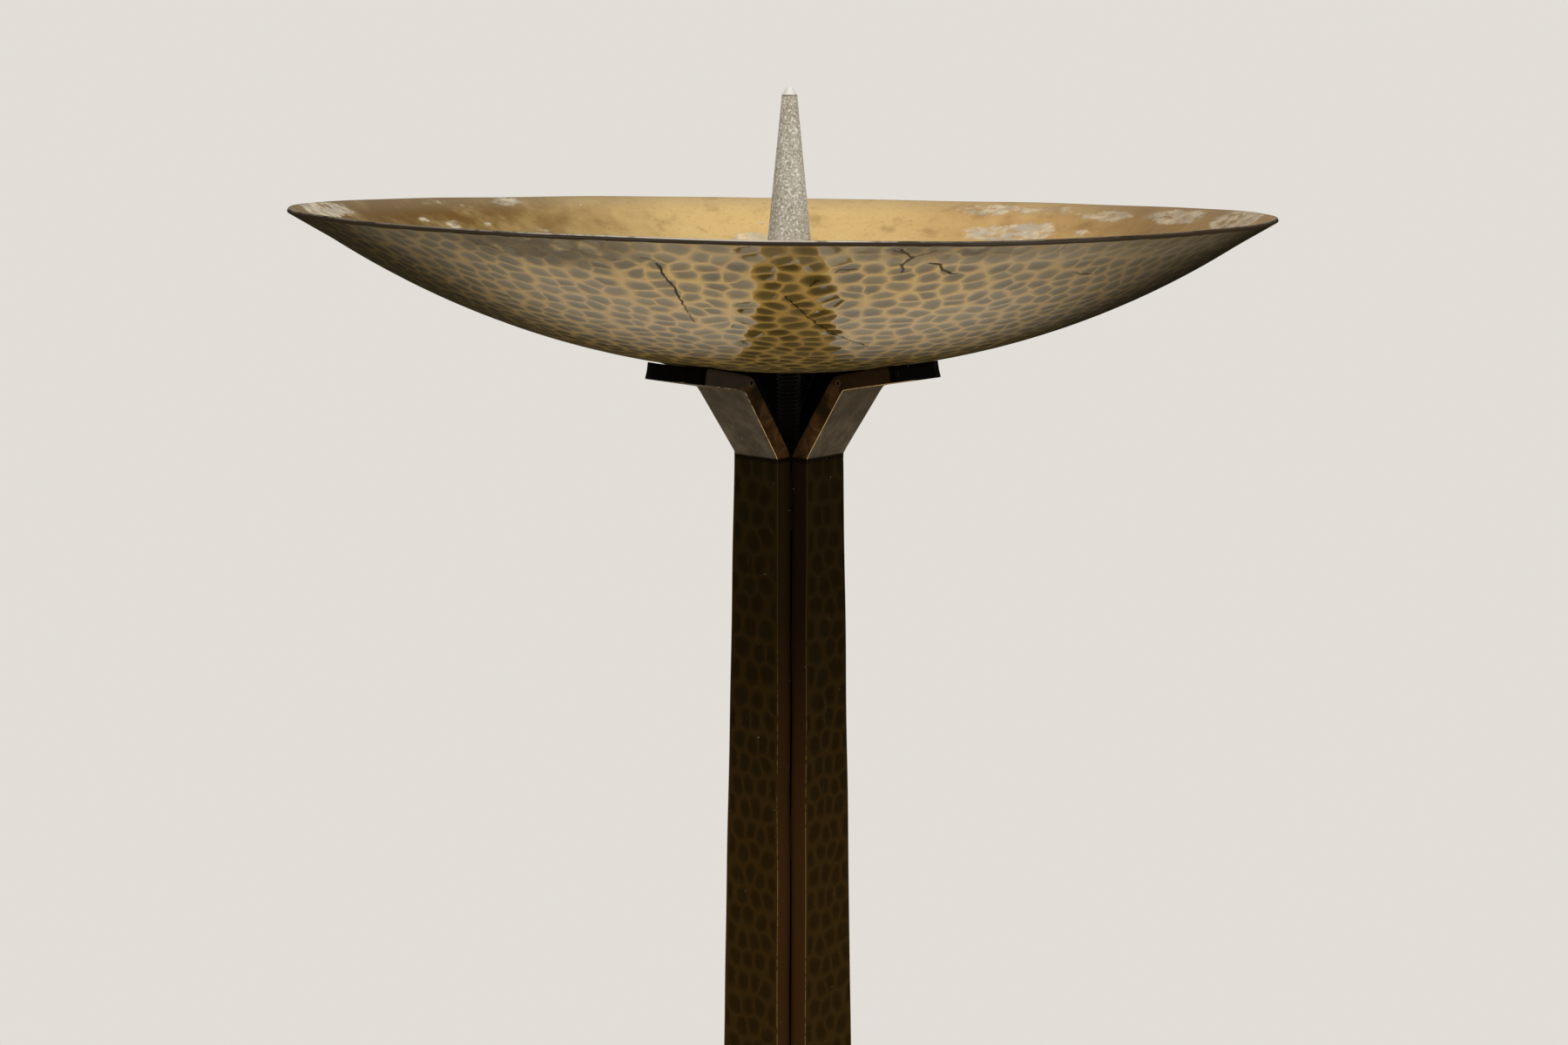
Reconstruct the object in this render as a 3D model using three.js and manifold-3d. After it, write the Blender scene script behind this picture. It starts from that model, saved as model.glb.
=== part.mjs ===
// A floor candlestick for one large candle.
// Four hammered brass bars stand back to back as a column. At the bottom each bends out into a foot,
// and at the top into an arm with a tab, on which a wide hammered drip bowl rests. A threaded rod,
// locked in a block inside the column, passes through the bowl, and the pricket screws down on it.
//
// Millimetres, +Z up. The origin is on the floor, on the column's axis. The front is -Y, and the
// bars stand at 45 degrees to X and Y.

import * as THREE from 'three';
import { mergeVertices } from 'three/addons/utils/BufferGeometryUtils.js';
import Module from 'manifold-3d';

const wasm = await Module();
wasm.setup();

// Drip bowl
const BOWL_RADIUS = 250; // axis to the rim
const BOWL_CURVE = 425; // radius of its round underside
const BOWL_WALL = 2.2;
const LIP_WIDTH = 20; // the straighter band below the rim, measured along the radius
const LIP_SLOPE = 30; // degrees

// Pricket: a cone with a chamfered tip, and a spigot that holds the candle plate
const PRICKET_HEIGHT = 135.5; // its foot's seat to the tip
const PRICKET_FOOT_RADIUS = 16.9;
const PRICKET_FOOT_CHAMFER = 0.8;
const PRICKET_SHOULDER_RADIUS = 3.9;
const PRICKET_TIP_RADIUS = 1.5;
const PRICKET_TIP_CHAMFER = 3.6; // height of the chamfer
const SPIGOT_RADIUS = 11;
const SPIGOT_LIP = 1.2; // how far the lip rolled over its end stands out, and how thick it is
const DRILL_POINT = 3; // cone at the bore's end

// Candle plate and the soft washer below it
const PLATE_RADIUS = 30;
const PLATE_THICK = 3;
const PLATE_CHAMFER = 0.8;
const SEAT_RECESS = 0.5; // how deep the pricket's foot sits in the plate
const FIBRE_RADIUS = 28;
const FIBRE_THICK = 2.4; // at its bore

// Threaded rod, its lock nut and spring washer
const ROD_RADIUS = 6.35;
const THREAD_PITCH = 2.117;
const THREAD_TURNS = 18; // turns of thread inside the pricket
const ROD_END = 5; // what stands out below the lock nut
const ROD_CHAMFER = 1;
const NUT_WIDTH = 19; // across its flats
const NUT_THICK = 11;
const SPRING_WASHER_RADIUS = 10.5;
const SPRING_WASHER_THICK = 2.8;

// Column of four bars round a square core
const NECK_HEIGHT = 898; // floor to the crease where the arms bend out
const NECK_WIDTH = 29.2; // a bar's width there
const ANKLE_HEIGHT = 140; // floor to the crease where the feet bend out
const ANKLE_WIDTH = 50.4;
const BAR_THICK = 10.5;
const CORNER_GAP = 0.4; // how far a bar's back stands off the corner of the core

// Arms and tabs
const ARM_REACH = 25.1; // how far the underside runs out, and how far it climbs, to the tab's bend
const ARM_RISE = 37.4;
const ARM_THICK = 9.2;
const ARM_TOP_WIDTH = 33;
const TAB_REACH = 34.5;
const TAB_THICK = 8;
const TAB_END_WIDTH = 39;
const TAB_TOUCH = 79; // distance from the axis at which a tab's flat top meets the round bowl
const ARM_BEND = 8; // radius on the outside of the bend

// Web between the two back arms
const WEB_THICK = 5;
const WEB_FOOT_WIDTH = 6;
const WEB_RISE = 1.5; // its top above the creases where the tabs bend out

// Feet
const FOOT_REACH = 205; // axis to the foot's end
const FOOT_FLAT = 60; // length that lies flat
const FOOT_THICK = 9;
const FOOT_BEND_WIDTH = 57;
const FOOT_END_WIDTH = 62;
const SPLAY_THICK = 9.8;
const FOOT_BEND = 10;

// Blocks inside the column
const NECK_BLOCK_DROP = 8; // from the arms' crease down to the block
const NECK_BLOCK_HEIGHT = 30;
const SPACER_HEIGHT = 24;
const FOOT_BLOCK_RISE = 8; // from the feet's crease up to the block
const FOOT_BLOCK_HEIGHT = 32;
const SPACER_NAMES = ['lower_spacer', 'middle_spacer', 'upper_spacer'];

// Rubber pads and their screws
const PAD_THICK = 5;
const PAD_MARGIN = 6; // from the foot's edge to the pad's
const PAD_CORNER = 8;
const PAD_WEB = 2.2; // rubber held below the foot by the screw's head
const SCREW_RADIUS = 2.5;
const SCREW_HEAD_RADIUS = 4.6;
const SCREW_HEAD_THICK = 2;
const SCREW_BITE = 6; // how far it goes into the foot

// Clearances
const SEAT_GAP = 0.3; // between faces that rest on each other
const BORE_PLAY = 0.3; // round a shaft in its bore
const BOWL_PLAY = 0.8; // round the rod in the bowl's hole

// Smoothness
const BOWL_SIDES = 64;
const BOWL_RINGS = 11;
const TURNED_SIDES = 40;
const SMALL_SIDES = 20;
const BEND_STEPS = 4;
const WELD = 0.0001; // corners closer than this are one
const DRILL_OVERRUN = 1; // how far a cutter starts outside the face it cuts

const LEG_ANGLES = { front_left: -135, front_right: -45, back_right: 45, back_left: 135 };

const BRASS = { color: 0x8a6d3b, roughness: 0.5, metalness: 0.9 };
const DARK_BRASS = { color: 0x4a3926, roughness: 0.55, metalness: 0.85 };
const PALE_STEEL = { color: 0x9c9a96, roughness: 0.45, metalness: 0.9 };
const DARK_STEEL = { color: 0x3a3836, roughness: 0.5, metalness: 0.9 };
const FIBRE = { color: 0x5b3a26, roughness: 0.9, metalness: 0 };
const RUBBER = { color: 0x1c1c1c, roughness: 0.85, metalness: 0 };

const radians = THREE.MathUtils.degToRad;

// Shapes and helpers

function turned(profile, sides) {
  const points = profile.map(([radius, z]) => new THREE.Vector2(radius, z));
  return new THREE.LatheGeometry(points, sides).rotateX(Math.PI / 2);
}

function rod(radius, low, high, sides) {
  return turned([[0, low], [radius, low], [radius, high], [0, high]], sides);
}

function toSolid(geometry) {
  const bare = geometry.clone();
  bare.deleteAttribute('normal');
  bare.deleteAttribute('uv');
  const merged = mergeVertices(bare, WELD);
  return new wasm.Manifold(new wasm.Mesh({
    numProp: 3,
    vertProperties: new Float32Array(merged.attributes.position.array),
    triVerts: new Uint32Array(merged.index.array),
  }));
}

function toGeometry(solid) {
  const { vertProperties, triVerts } = solid.getMesh();
  const geometry = new THREE.BufferGeometry();
  geometry.setAttribute('position', new THREE.BufferAttribute(vertProperties, 3));
  geometry.setIndex(new THREE.BufferAttribute(triVerts, 1));
  geometry.computeVertexNormals();
  return geometry;
}

function cut(geometry, ...cutters) {
  const solids = cutters.map(toSolid);
  return toGeometry(solids.reduce((rest, cutter) => rest.subtract(cutter), toSolid(geometry)));
}

// Two lines in the plane, each a point and a direction
function crossing(p, along, q, across) {
  const reach = q.clone().sub(p).cross(across) / along.cross(across);
  return p.clone().addScaledVector(along, reach);
}

// The column: every size across it follows its height

function barWidth(z) {
  return THREE.MathUtils.mapLinear(z, ANKLE_HEIGHT, NECK_HEIGHT, ANKLE_WIDTH, NECK_WIDTH);
}

function coreSide(z) {
  return barWidth(z) / 2 + CORNER_GAP;
}

function columnFace(z) {
  return coreSide(z) + BAR_THICK;
}

// One bar, drawn from the side: x runs out from the axis, y up

const tabSlope = Math.asin(TAB_TOUCH / (BOWL_CURVE + SEAT_GAP));

function barOutline() {
  const footTop = PAD_THICK + SEAT_GAP + FOOT_THICK;
  const face = [
    new THREE.Vector2(FOOT_REACH, footTop),
    new THREE.Vector2(FOOT_REACH - FOOT_FLAT, footTop),
    new THREE.Vector2(columnFace(ANKLE_HEIGHT), ANKLE_HEIGHT),
    new THREE.Vector2(columnFace(NECK_HEIGHT), NECK_HEIGHT),
    new THREE.Vector2(columnFace(NECK_HEIGHT) + ARM_REACH, NECK_HEIGHT + ARM_RISE),
  ];
  face.push(face[4].clone().add(new THREE.Vector2(TAB_REACH, TAB_REACH * Math.tan(tabSlope))));
  const thicknesses = [FOOT_THICK, SPLAY_THICK, BAR_THICK, ARM_THICK, TAB_THICK];
  const widths = [FOOT_END_WIDTH, FOOT_BEND_WIDTH, ANKLE_WIDTH, NECK_WIDTH, ARM_TOP_WIDTH, TAB_END_WIDTH];
  const bends = [0, FOOT_BEND, 0, 0, ARM_BEND, 0];

  const runs = thicknesses.map((thick, i) => {
    const along = face[i + 1].clone().sub(face[i]).normalize();
    const behind = new THREE.Vector2(-along.y, along.x);
    return { along, from: face[i].clone().addScaledVector(behind, thick), behind, thick };
  });
  const last = runs[runs.length - 1];
  const back = [
    runs[0].from,
    ...runs.slice(1).map((run, i) => crossing(runs[i].from, runs[i].along, run.from, run.along)),
    face[5].clone().addScaledVector(last.behind, last.thick),
  ];
  const withWidth = (points, i) => points.map((p) => ({ p, width: widths[i] }));
  const faceEdge = face.flatMap((p, i) => withWidth([p], i));
  const backEdge = back.flatMap((p, i) => withWidth(rounded(back, i, bends[i]), i));
  return { outline: [...faceEdge, ...backEdge.reverse()], armBack: [back[3], back[4]], tabTop: back[5] };
}

// The corner of a line of points, as an arc of the given radius
function rounded(points, i, radius) {
  if (radius === 0) {
    return [points[i]];
  }
  const before = points[i - 1].clone().sub(points[i]).normalize();
  const after = points[i + 1].clone().sub(points[i]).normalize();
  const half = Math.acos(THREE.MathUtils.clamp(before.dot(after), -1, 1)) / 2;
  const middle = before.clone().add(after).normalize();
  const centre = points[i].clone().addScaledVector(middle, radius / Math.sin(half));
  const start = points[i].clone().addScaledVector(before, radius / Math.tan(half)).sub(centre);
  const end = points[i].clone().addScaledVector(after, radius / Math.tan(half)).sub(centre);
  const sweep = Math.atan2(start.cross(end), start.dot(end));
  return Array.from({ length: BEND_STEPS + 1 }, (_, k) => {
    const turn = (sweep * k) / BEND_STEPS;
    return start.clone().rotateAround(new THREE.Vector2(), turn).add(centre);
  });
}

// A flat outline given its width at each point, as a closed solid
function widened(outline) {
  const contour = outline.map(({ p }) => p);
  const faces = THREE.ShapeUtils.triangulateShape(contour, []);
  const count = contour.length;
  const side = (sign) => outline.flatMap(({ p, width }) => [p.x, (sign * width) / 2, p.y]);
  const positions = [...side(1), ...side(-1)];
  const index = faces.flatMap(([a, b, c]) => [a, c, b, a + count, b + count, c + count]);
  for (let i = 0; i < count; i += 1) {
    const next = (i + 1) % count;
    index.push(i, next, next + count, i, next + count, i + count);
  }
  const geometry = new THREE.BufferGeometry();
  geometry.setAttribute('position', new THREE.Float32BufferAttribute(positions, 3));
  geometry.setIndex(index);
  geometry.computeVertexNormals();
  return geometry;
}

const { outline: barSide, armBack, tabTop } = barOutline();
const padCentre = FOOT_REACH - FOOT_FLAT / 2;
const screwTop = PAD_THICK + SEAT_GAP + SCREW_BITE;

function legGeometry() {
  const hole = rod(SCREW_RADIUS + BORE_PLAY, PAD_THICK - DRILL_OVERRUN, screwTop + SEAT_GAP, SMALL_SIDES);
  return cut(widened(barSide), hole.translate(padCentre, 0, 0));
}

// Web: a plate in the V between two arms, drawn with X pointing out midway between them

function webGeometry() {
  const innerCorner = (p, width) => ({
    out: (p.x + width / 2) * Math.SQRT1_2,
    side: (p.x - width / 2) * Math.SQRT1_2 - SEAT_GAP * Math.SQRT2,
    up: p.y,
  });
  const neck = innerCorner(armBack[0], NECK_WIDTH);
  const bend = innerCorner(armBack[1], ARM_TOP_WIDTH);
  const section = (share) => ({
    p: new THREE.Vector2(
      THREE.MathUtils.lerp(neck.out, bend.out, share),
      THREE.MathUtils.lerp(neck.up, bend.up, share),
    ),
    width: 2 * THREE.MathUtils.lerp(neck.side, bend.side, share),
  });
  const low = section((WEB_FOOT_WIDTH / 2 - neck.side) / (bend.side - neck.side));
  const high = section((NECK_HEIGHT + ARM_RISE + WEB_RISE - neck.up) / (bend.up - neck.up));
  const along = high.p.clone().sub(low.p).normalize();
  const away = new THREE.Vector2(along.y, -along.x).multiplyScalar(WEB_THICK);
  const behind = ({ p, width }) => ({ p: p.clone().add(away), width });
  return widened([behind(low), behind(high), high, low]);
}

// Pads and screws, drawn for a foot that points along X

function padGeometry() {
  const long = FOOT_FLAT / 2 - PAD_MARGIN;
  const wide = FOOT_BEND_WIDTH / 2 - PAD_MARGIN;
  const shape = new THREE.Shape();
  shape.absarc(long - PAD_CORNER, wide - PAD_CORNER, PAD_CORNER, 0, Math.PI / 2);
  shape.absarc(PAD_CORNER - long, wide - PAD_CORNER, PAD_CORNER, Math.PI / 2, Math.PI);
  shape.absarc(PAD_CORNER - long, PAD_CORNER - wide, PAD_CORNER, Math.PI, Math.PI * 1.5);
  shape.absarc(long - PAD_CORNER, PAD_CORNER - wide, PAD_CORNER, Math.PI * 1.5, Math.PI * 2);
  const block = new THREE.ExtrudeGeometry(shape, {
    depth: PAD_THICK,
    bevelEnabled: false,
    curveSegments: BEND_STEPS,
  });
  const shank = rod(SCREW_RADIUS + BORE_PLAY, -DRILL_OVERRUN, PAD_THICK + DRILL_OVERRUN, SMALL_SIDES);
  const head = rod(SCREW_HEAD_RADIUS + BORE_PLAY, -DRILL_OVERRUN, PAD_THICK - PAD_WEB, SMALL_SIDES);
  return cut(block, shank, head).translate(padCentre, 0, 0);
}

function screwGeometry() {
  const headTop = PAD_THICK - PAD_WEB - SEAT_GAP;
  return turned([
    [0, headTop - SCREW_HEAD_THICK],
    [SCREW_HEAD_RADIUS, headTop - SCREW_HEAD_THICK],
    [SCREW_HEAD_RADIUS, headTop],
    [SCREW_RADIUS, headTop],
    [SCREW_RADIUS, screwTop],
    [0, screwTop],
  ], SMALL_SIDES).translate(padCentre, 0, 0);
}

// Blocks: square, with corners on X and Y, and tapered as the core is

function blockGeometry(low, height) {
  const corner = (z) => (coreSide(z) - SEAT_GAP) * Math.SQRT2;
  const block = new THREE.CylinderGeometry(corner(low + height), corner(low), height, 4);
  return block.rotateX(Math.PI / 2).translate(0, 0, low + height / 2);
}

const neckBlockLow = NECK_HEIGHT - NECK_BLOCK_DROP - NECK_BLOCK_HEIGHT;
const footBlockLow = ANKLE_HEIGHT + FOOT_BLOCK_RISE;

function neckBlockGeometry() {
  const top = neckBlockLow + NECK_BLOCK_HEIGHT;
  const hole = rod(ROD_RADIUS + BORE_PLAY, neckBlockLow - DRILL_OVERRUN, top + DRILL_OVERRUN, TURNED_SIDES);
  return cut(blockGeometry(neckBlockLow, NECK_BLOCK_HEIGHT), hole);
}

// Drip bowl: its round underside rests on the tabs' flat tops

const tabNormal = new THREE.Vector2(-Math.sin(tabSlope), Math.cos(tabSlope));
const touch = tabTop.clone().addScaledVector(
  new THREE.Vector2(Math.cos(tabSlope), Math.sin(tabSlope)),
  (TAB_TOUCH - tabTop.x) / Math.cos(tabSlope),
);
const bowlCentre = touch.y + (BOWL_CURVE + SEAT_GAP) * tabNormal.y;
const floorCurve = BOWL_CURVE - BOWL_WALL;
const bowlHole = ROD_RADIUS + BOWL_PLAY;

function bowlFloor(radius) {
  return bowlCentre - Math.sqrt(floorCurve ** 2 - radius ** 2);
}

function bowlGeometry() {
  const lipStart = BOWL_RADIUS - LIP_WIDTH;
  const arc = (curve) => {
    const first = Math.asin(bowlHole / curve);
    const last = Math.asin(lipStart / BOWL_CURVE);
    return Array.from({ length: BOWL_RINGS + 1 }, (_, i) => {
      const angle = THREE.MathUtils.lerp(first, last, i / BOWL_RINGS);
      return [curve * Math.sin(angle), bowlCentre - curve * Math.cos(angle)];
    });
  };
  const outside = arc(BOWL_CURVE);
  const slope = radians(LIP_SLOPE);
  const rim = [BOWL_RADIUS, outside[BOWL_RINGS][1] + LIP_WIDTH * Math.tan(slope)];
  const rimInside = [rim[0] - BOWL_WALL * Math.sin(slope), rim[1] + BOWL_WALL * Math.cos(slope)];
  const profile = [...outside, rim, rimInside, ...arc(floorCurve).reverse(), outside[0]];
  return turned(profile, BOWL_SIDES);
}

// The stack on the bowl's floor: soft washer, candle plate, pricket

const lipRadius = SPIGOT_RADIUS + SPIGOT_LIP;
const fibreBore = lipRadius + BOWL_PLAY;
const fibreTop = bowlFloor(fibreBore) + SEAT_GAP + FIBRE_THICK;
const plateLow = fibreTop + SEAT_GAP;
const plateTop = plateLow + PLATE_THICK;
const recessFloor = plateTop - SEAT_RECESS;
const pricketLow = recessFloor + SEAT_GAP;
const rodTop = plateTop + THREAD_TURNS * THREAD_PITCH;

function fibreGeometry() {
  const underside = Array.from({ length: BEND_STEPS + 1 }, (_, i) => {
    const radius = THREE.MathUtils.lerp(fibreBore, FIBRE_RADIUS, i / BEND_STEPS);
    return [radius, bowlFloor(radius) + SEAT_GAP];
  });
  const top = [[FIBRE_RADIUS, fibreTop], [fibreBore, fibreTop]];
  return turned([...underside, ...top, underside[0]], TURNED_SIDES);
}

function plateGeometry() {
  const bore = SPIGOT_RADIUS + BORE_PLAY;
  const recess = PRICKET_FOOT_RADIUS + BORE_PLAY;
  return turned([
    [bore, plateLow],
    [PLATE_RADIUS, plateLow],
    [PLATE_RADIUS, plateTop - PLATE_CHAMFER],
    [PLATE_RADIUS - PLATE_CHAMFER, plateTop],
    [recess, plateTop],
    [recess, recessFloor],
    [bore, recessFloor],
    [bore, plateLow],
  ], TURNED_SIDES);
}

function pricketGeometry() {
  const bore = ROD_RADIUS + BORE_PLAY;
  const boreTop = rodTop + SEAT_GAP;
  const lipTop = plateLow - SEAT_GAP;
  const tip = pricketLow + PRICKET_HEIGHT;
  const taper = (PRICKET_FOOT_RADIUS - PRICKET_SHOULDER_RADIUS) / (PRICKET_HEIGHT - PRICKET_TIP_CHAMFER);
  const aboveChamfer = PRICKET_FOOT_RADIUS - PRICKET_FOOT_CHAMFER * taper;
  return turned([
    [0, boreTop + DRILL_POINT],
    [bore, boreTop],
    [bore, lipTop - SPIGOT_LIP],
    [lipRadius, lipTop - SPIGOT_LIP],
    [lipRadius, lipTop],
    [SPIGOT_RADIUS, lipTop],
    [SPIGOT_RADIUS, pricketLow],
    [PRICKET_FOOT_RADIUS - PRICKET_FOOT_CHAMFER, pricketLow],
    [aboveChamfer, pricketLow + PRICKET_FOOT_CHAMFER],
    [PRICKET_SHOULDER_RADIUS, tip - PRICKET_TIP_CHAMFER],
    [PRICKET_TIP_RADIUS, tip],
    [0, tip],
  ], TURNED_SIDES);
}

// Rod, spring washer and lock nut, hung from the neck block

const springTop = neckBlockLow - SEAT_GAP;
const nutTop = springTop - SPRING_WASHER_THICK - SEAT_GAP;
const rodLow = nutTop - NUT_THICK - ROD_END;

function tieRodGeometry() {
  const end = ROD_RADIUS - ROD_CHAMFER;
  return turned([
    [0, rodLow],
    [end, rodLow],
    [ROD_RADIUS, rodLow + ROD_CHAMFER],
    [ROD_RADIUS, rodTop - ROD_CHAMFER],
    [end, rodTop],
    [0, rodTop],
  ], TURNED_SIDES);
}

function springWasherGeometry() {
  const bore = ROD_RADIUS + BORE_PLAY;
  const low = springTop - SPRING_WASHER_THICK;
  return turned([
    [bore, low],
    [SPRING_WASHER_RADIUS, low],
    [SPRING_WASHER_RADIUS, springTop],
    [bore, springTop],
    [bore, low],
  ], TURNED_SIDES);
}

function nutGeometry() {
  const corner = NUT_WIDTH / Math.sqrt(3);
  const nut = new THREE.CylinderGeometry(corner, corner, NUT_THICK, 6).rotateX(Math.PI / 2);
  nut.translate(0, 0, nutTop - NUT_THICK / 2);
  const low = nutTop - NUT_THICK - DRILL_OVERRUN;
  return cut(nut, rod(ROD_RADIUS + BORE_PLAY, low, nutTop + DRILL_OVERRUN, TURNED_SIDES));
}

// The assembly

const candlestick = new THREE.Group();

function add(name, geometry, finish, angle = 0) {
  const mesh = new THREE.Mesh(geometry, new THREE.MeshStandardMaterial(finish));
  mesh.name = name;
  mesh.rotation.z = radians(angle);
  candlestick.add(mesh);
}

add('bowl', bowlGeometry(), BRASS);
add('pricket', pricketGeometry(), PALE_STEEL);
add('pricket_washer', plateGeometry(), PALE_STEEL);
add('fibre_washer', fibreGeometry(), FIBRE);
add('tie_rod', tieRodGeometry(), DARK_STEEL);
add('neck_block', neckBlockGeometry(), DARK_BRASS);
add('neck_washer', springWasherGeometry(), DARK_STEEL);
add('neck_lock_nut', nutGeometry(), DARK_STEEL);

SPACER_NAMES.forEach((name, i) => {
  const share = (i + 1) / (SPACER_NAMES.length + 1);
  const middle = THREE.MathUtils.lerp(footBlockLow, neckBlockLow, share);
  add(name, blockGeometry(middle, SPACER_HEIGHT), DARK_BRASS);
});
add('foot_block', blockGeometry(footBlockLow, FOOT_BLOCK_HEIGHT), DARK_BRASS);
add('back_web', webGeometry(), DARK_BRASS, 90);

Object.entries(LEG_ANGLES).forEach(([place, angle]) => {
  add(`leg_${place}`, legGeometry(), DARK_BRASS, angle);
  add(`foot_pad_${place}`, padGeometry(), RUBBER, angle);
  add(`foot_screw_${place}`, screwGeometry(), DARK_STEEL, angle);
});

export default candlestick;
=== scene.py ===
"""A floor candlestick: a wide hammered drip bowl and a pricket on a column of four hammered bars."""

import math
import random

import bmesh
import bpy
import numpy as np
from mathutils import Matrix, Vector, geometry


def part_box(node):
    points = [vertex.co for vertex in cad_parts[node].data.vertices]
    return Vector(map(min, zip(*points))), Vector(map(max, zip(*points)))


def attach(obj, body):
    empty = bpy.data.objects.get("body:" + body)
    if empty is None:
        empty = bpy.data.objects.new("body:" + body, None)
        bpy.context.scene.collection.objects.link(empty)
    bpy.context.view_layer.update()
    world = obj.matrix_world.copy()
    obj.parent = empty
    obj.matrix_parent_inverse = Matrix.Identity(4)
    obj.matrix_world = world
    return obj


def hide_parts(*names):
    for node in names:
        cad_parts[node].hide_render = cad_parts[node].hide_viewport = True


bl_info = {
    "name": "Floor Candlestick",
    "version": (1, 0, 0),
    "blender": (4, 5, 0),
    "location": "3D View > Sidebar > Candlestick",
    "description": "Makes a floor candlestick with a hammered drip bowl, a pricket and forged bars",
    "category": "Add Mesh",
}

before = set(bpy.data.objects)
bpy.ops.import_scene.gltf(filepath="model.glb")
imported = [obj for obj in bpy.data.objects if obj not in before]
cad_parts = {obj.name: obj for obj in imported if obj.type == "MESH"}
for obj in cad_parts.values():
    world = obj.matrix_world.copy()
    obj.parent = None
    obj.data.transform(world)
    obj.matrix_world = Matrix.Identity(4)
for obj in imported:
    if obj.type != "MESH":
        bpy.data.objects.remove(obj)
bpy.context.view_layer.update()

MM = 0.001

# Main lines of the bowl, in millimetres
BOWL_RADIUS = 250.0
BOWL_CURVE = 425.0
BOWL_WALL = 2.2
LIP_WIDTH = 20.0
LIP_SLOPE = math.radians(30)
LIP_BEND = 10.0
BOWL_HOLE = 7.15
LIP_START = BOWL_CURVE * math.asin((BOWL_RADIUS - LIP_WIDTH) / BOWL_CURVE)
BOWL_LENGTH = LIP_START + LIP_WIDTH / math.cos(LIP_SLOPE)
BOWL_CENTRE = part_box("bowl")[0].z / MM + math.sqrt(BOWL_CURVE ** 2 - BOWL_HOLE ** 2)

# Main lines of a bar seen from the side, in millimetres: distance from the axis, and height
BAR_FACE = ((205.0, 14.3), (145.0, 14.3), (36.1, 140.0), (25.5, 898.0), (50.6, 935.4), (85.1, 941.92))
BAR_THICKNESSES = (9.0, 9.8, 10.5, 9.2, 8.0)
BAR_WIDTHS = (62.0, 57.0, 50.4, 29.2, 33.0, 39.0)
BAR_TURNS = {"front_left": -135, "front_right": -45, "back_right": 45, "back_left": 135}

# How far a bar's arm and tab reach out more than they should, and the height of an arm over which
# that grows
BAR_STRAYS = {"front_left": 1.8}
ARM_RISE = 36.0

# How softly the bends of a bar's face and back are rounded, and what is left below the bowl
FACE_SOFTNESS = 1.2
BACK_SOFTNESS = 3.0
TAB_PLAY = 0.15

# How the raised bowl strays from a true one: its rim's shift to the left, what its radius lacks, and
# the rise of the rim as cosine and sine of the angle times none, one, two and three, in millimetres
RIM_SHIFT = -3.2
RIM_SHORTFALL = 0.45
RIM_RISE = ((0, -0.11, 0.0), (1, -2.24, -0.39), (2, 1.5, -0.16), (3, 0.18, -0.4))

# Small waves in the rim: how many go round, and the angle that they start from
RIM_WAVES = ((5, 4.4), (7, 1.3), (11, 5.2), (16, 0.4))

# Scratches and cracks in the patina under the bowl: width, strength, and points seen from above
CRACKS = (
    (0.75, 0.9, ((-67, -222), (-64, -212), (-60, -204), (-58, -195), (-56, -189))),
    (0.5, 0.7, ((-56, -189), (-52, -172))),
    (0.6, 0.6, ((-73, -224), (-68, -224))),
    (0.8, 0.85, ((46, -230), (51, -228), (52, -223), (58, -218))),
    (0.7, 0.8, ((35, -225), (35, -232), (39, -236), (33, -243))),
    (0.5, 0.6, ((30, -243), (40, -237), (48, -240))),
    (0.6, 0.6, ((7, -227), (9, -229), (16, -229))),
    (0.5, 0.8, ((-13, -207), (-4, -190), (10, -166), (28, -143))),
    (0.6, 0.6, ((115, -191), (119, -186), (123, -183))),
    (0.6, 0.6, ((102, -219), (105, -224))),
    (0.8, 0.7, ((-3, -216), (0, -221))),
)

# Pits at the bends of the front bars: middle and radius, in metres
PITS = (((-0.0215, -0.0448, 0.9393), 0.0015), ((0.0218, -0.0451, 0.9389), 0.0013))

# Patches of old wax inside: radius, angle in degrees, length, width and strength
CRUSTS = (
    (241, 141, 26, 7, 0.6), (243, 130, 17, 9, 1.0), (242, 151, 20, 6, 0.5), (224, 144, 9, 6, 1.0),
    (229, 149, 6, 4, 0.9), (224, 137, 5, 3, 0.8), (216, 128, 16, 5, 0.7), (208, 92.5, 17, 9, 1.25),
    (239, 55, 32, 8, 1.1), (240, 45, 26, 7, 0.9), (237, 34, 34, 8, 1.0), (239, 20, 38, 11, 1.15),
    (240, 2, 48, 15, 1.5), (217, 50, 40, 11, 1.25), (222, 45, 26, 11, 1.0), (221, 36, 12, 6, 0.9),
    (212, 68, 30, 6, 0.5), (242, 172, 56, 12, 1.1), (243, 68, 16, 4, 0.4), (210, 110, 14, 3, 0.4),
)

# The camera's picture in pixels: width, focal length, and how far its middle lies beside the axis
IMAGE_WIDTH = 1800
FOCAL_LENGTH = 2541.0
AIM_ASIDE = 5.2

# Points nearer than this are one
CLOSE = 1e-6


# Settings


def span(name, description, millimetres):
    """A length that a user can change."""
    return bpy.props.FloatProperty(
        name=name, description=description, default=millimetres * MM, unit="LENGTH",
    )


def tint(name, description, colour):
    """A colour that a user can change."""
    return bpy.props.FloatVectorProperty(
        name=name, description=description, default=colour, subtype="COLOR",
    )


def draw_seed(description, number):
    """The number that starts the random draws."""
    return bpy.props.IntProperty(name="Seed", description=description, default=number)


# Nodes


def arithmetic(operation):
    """A method of Wire that adds a Math node."""

    def method(self, other):
        return self.nodes.add("ShaderNodeMath", {"operation": operation}, {0: self, 1: other})

    return method


def reflected(operation):
    """The same with the wire as the second number."""

    def method(self, other):
        return self.nodes.add("ShaderNodeMath", {"operation": operation}, {0: other, 1: self})

    return method


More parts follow.
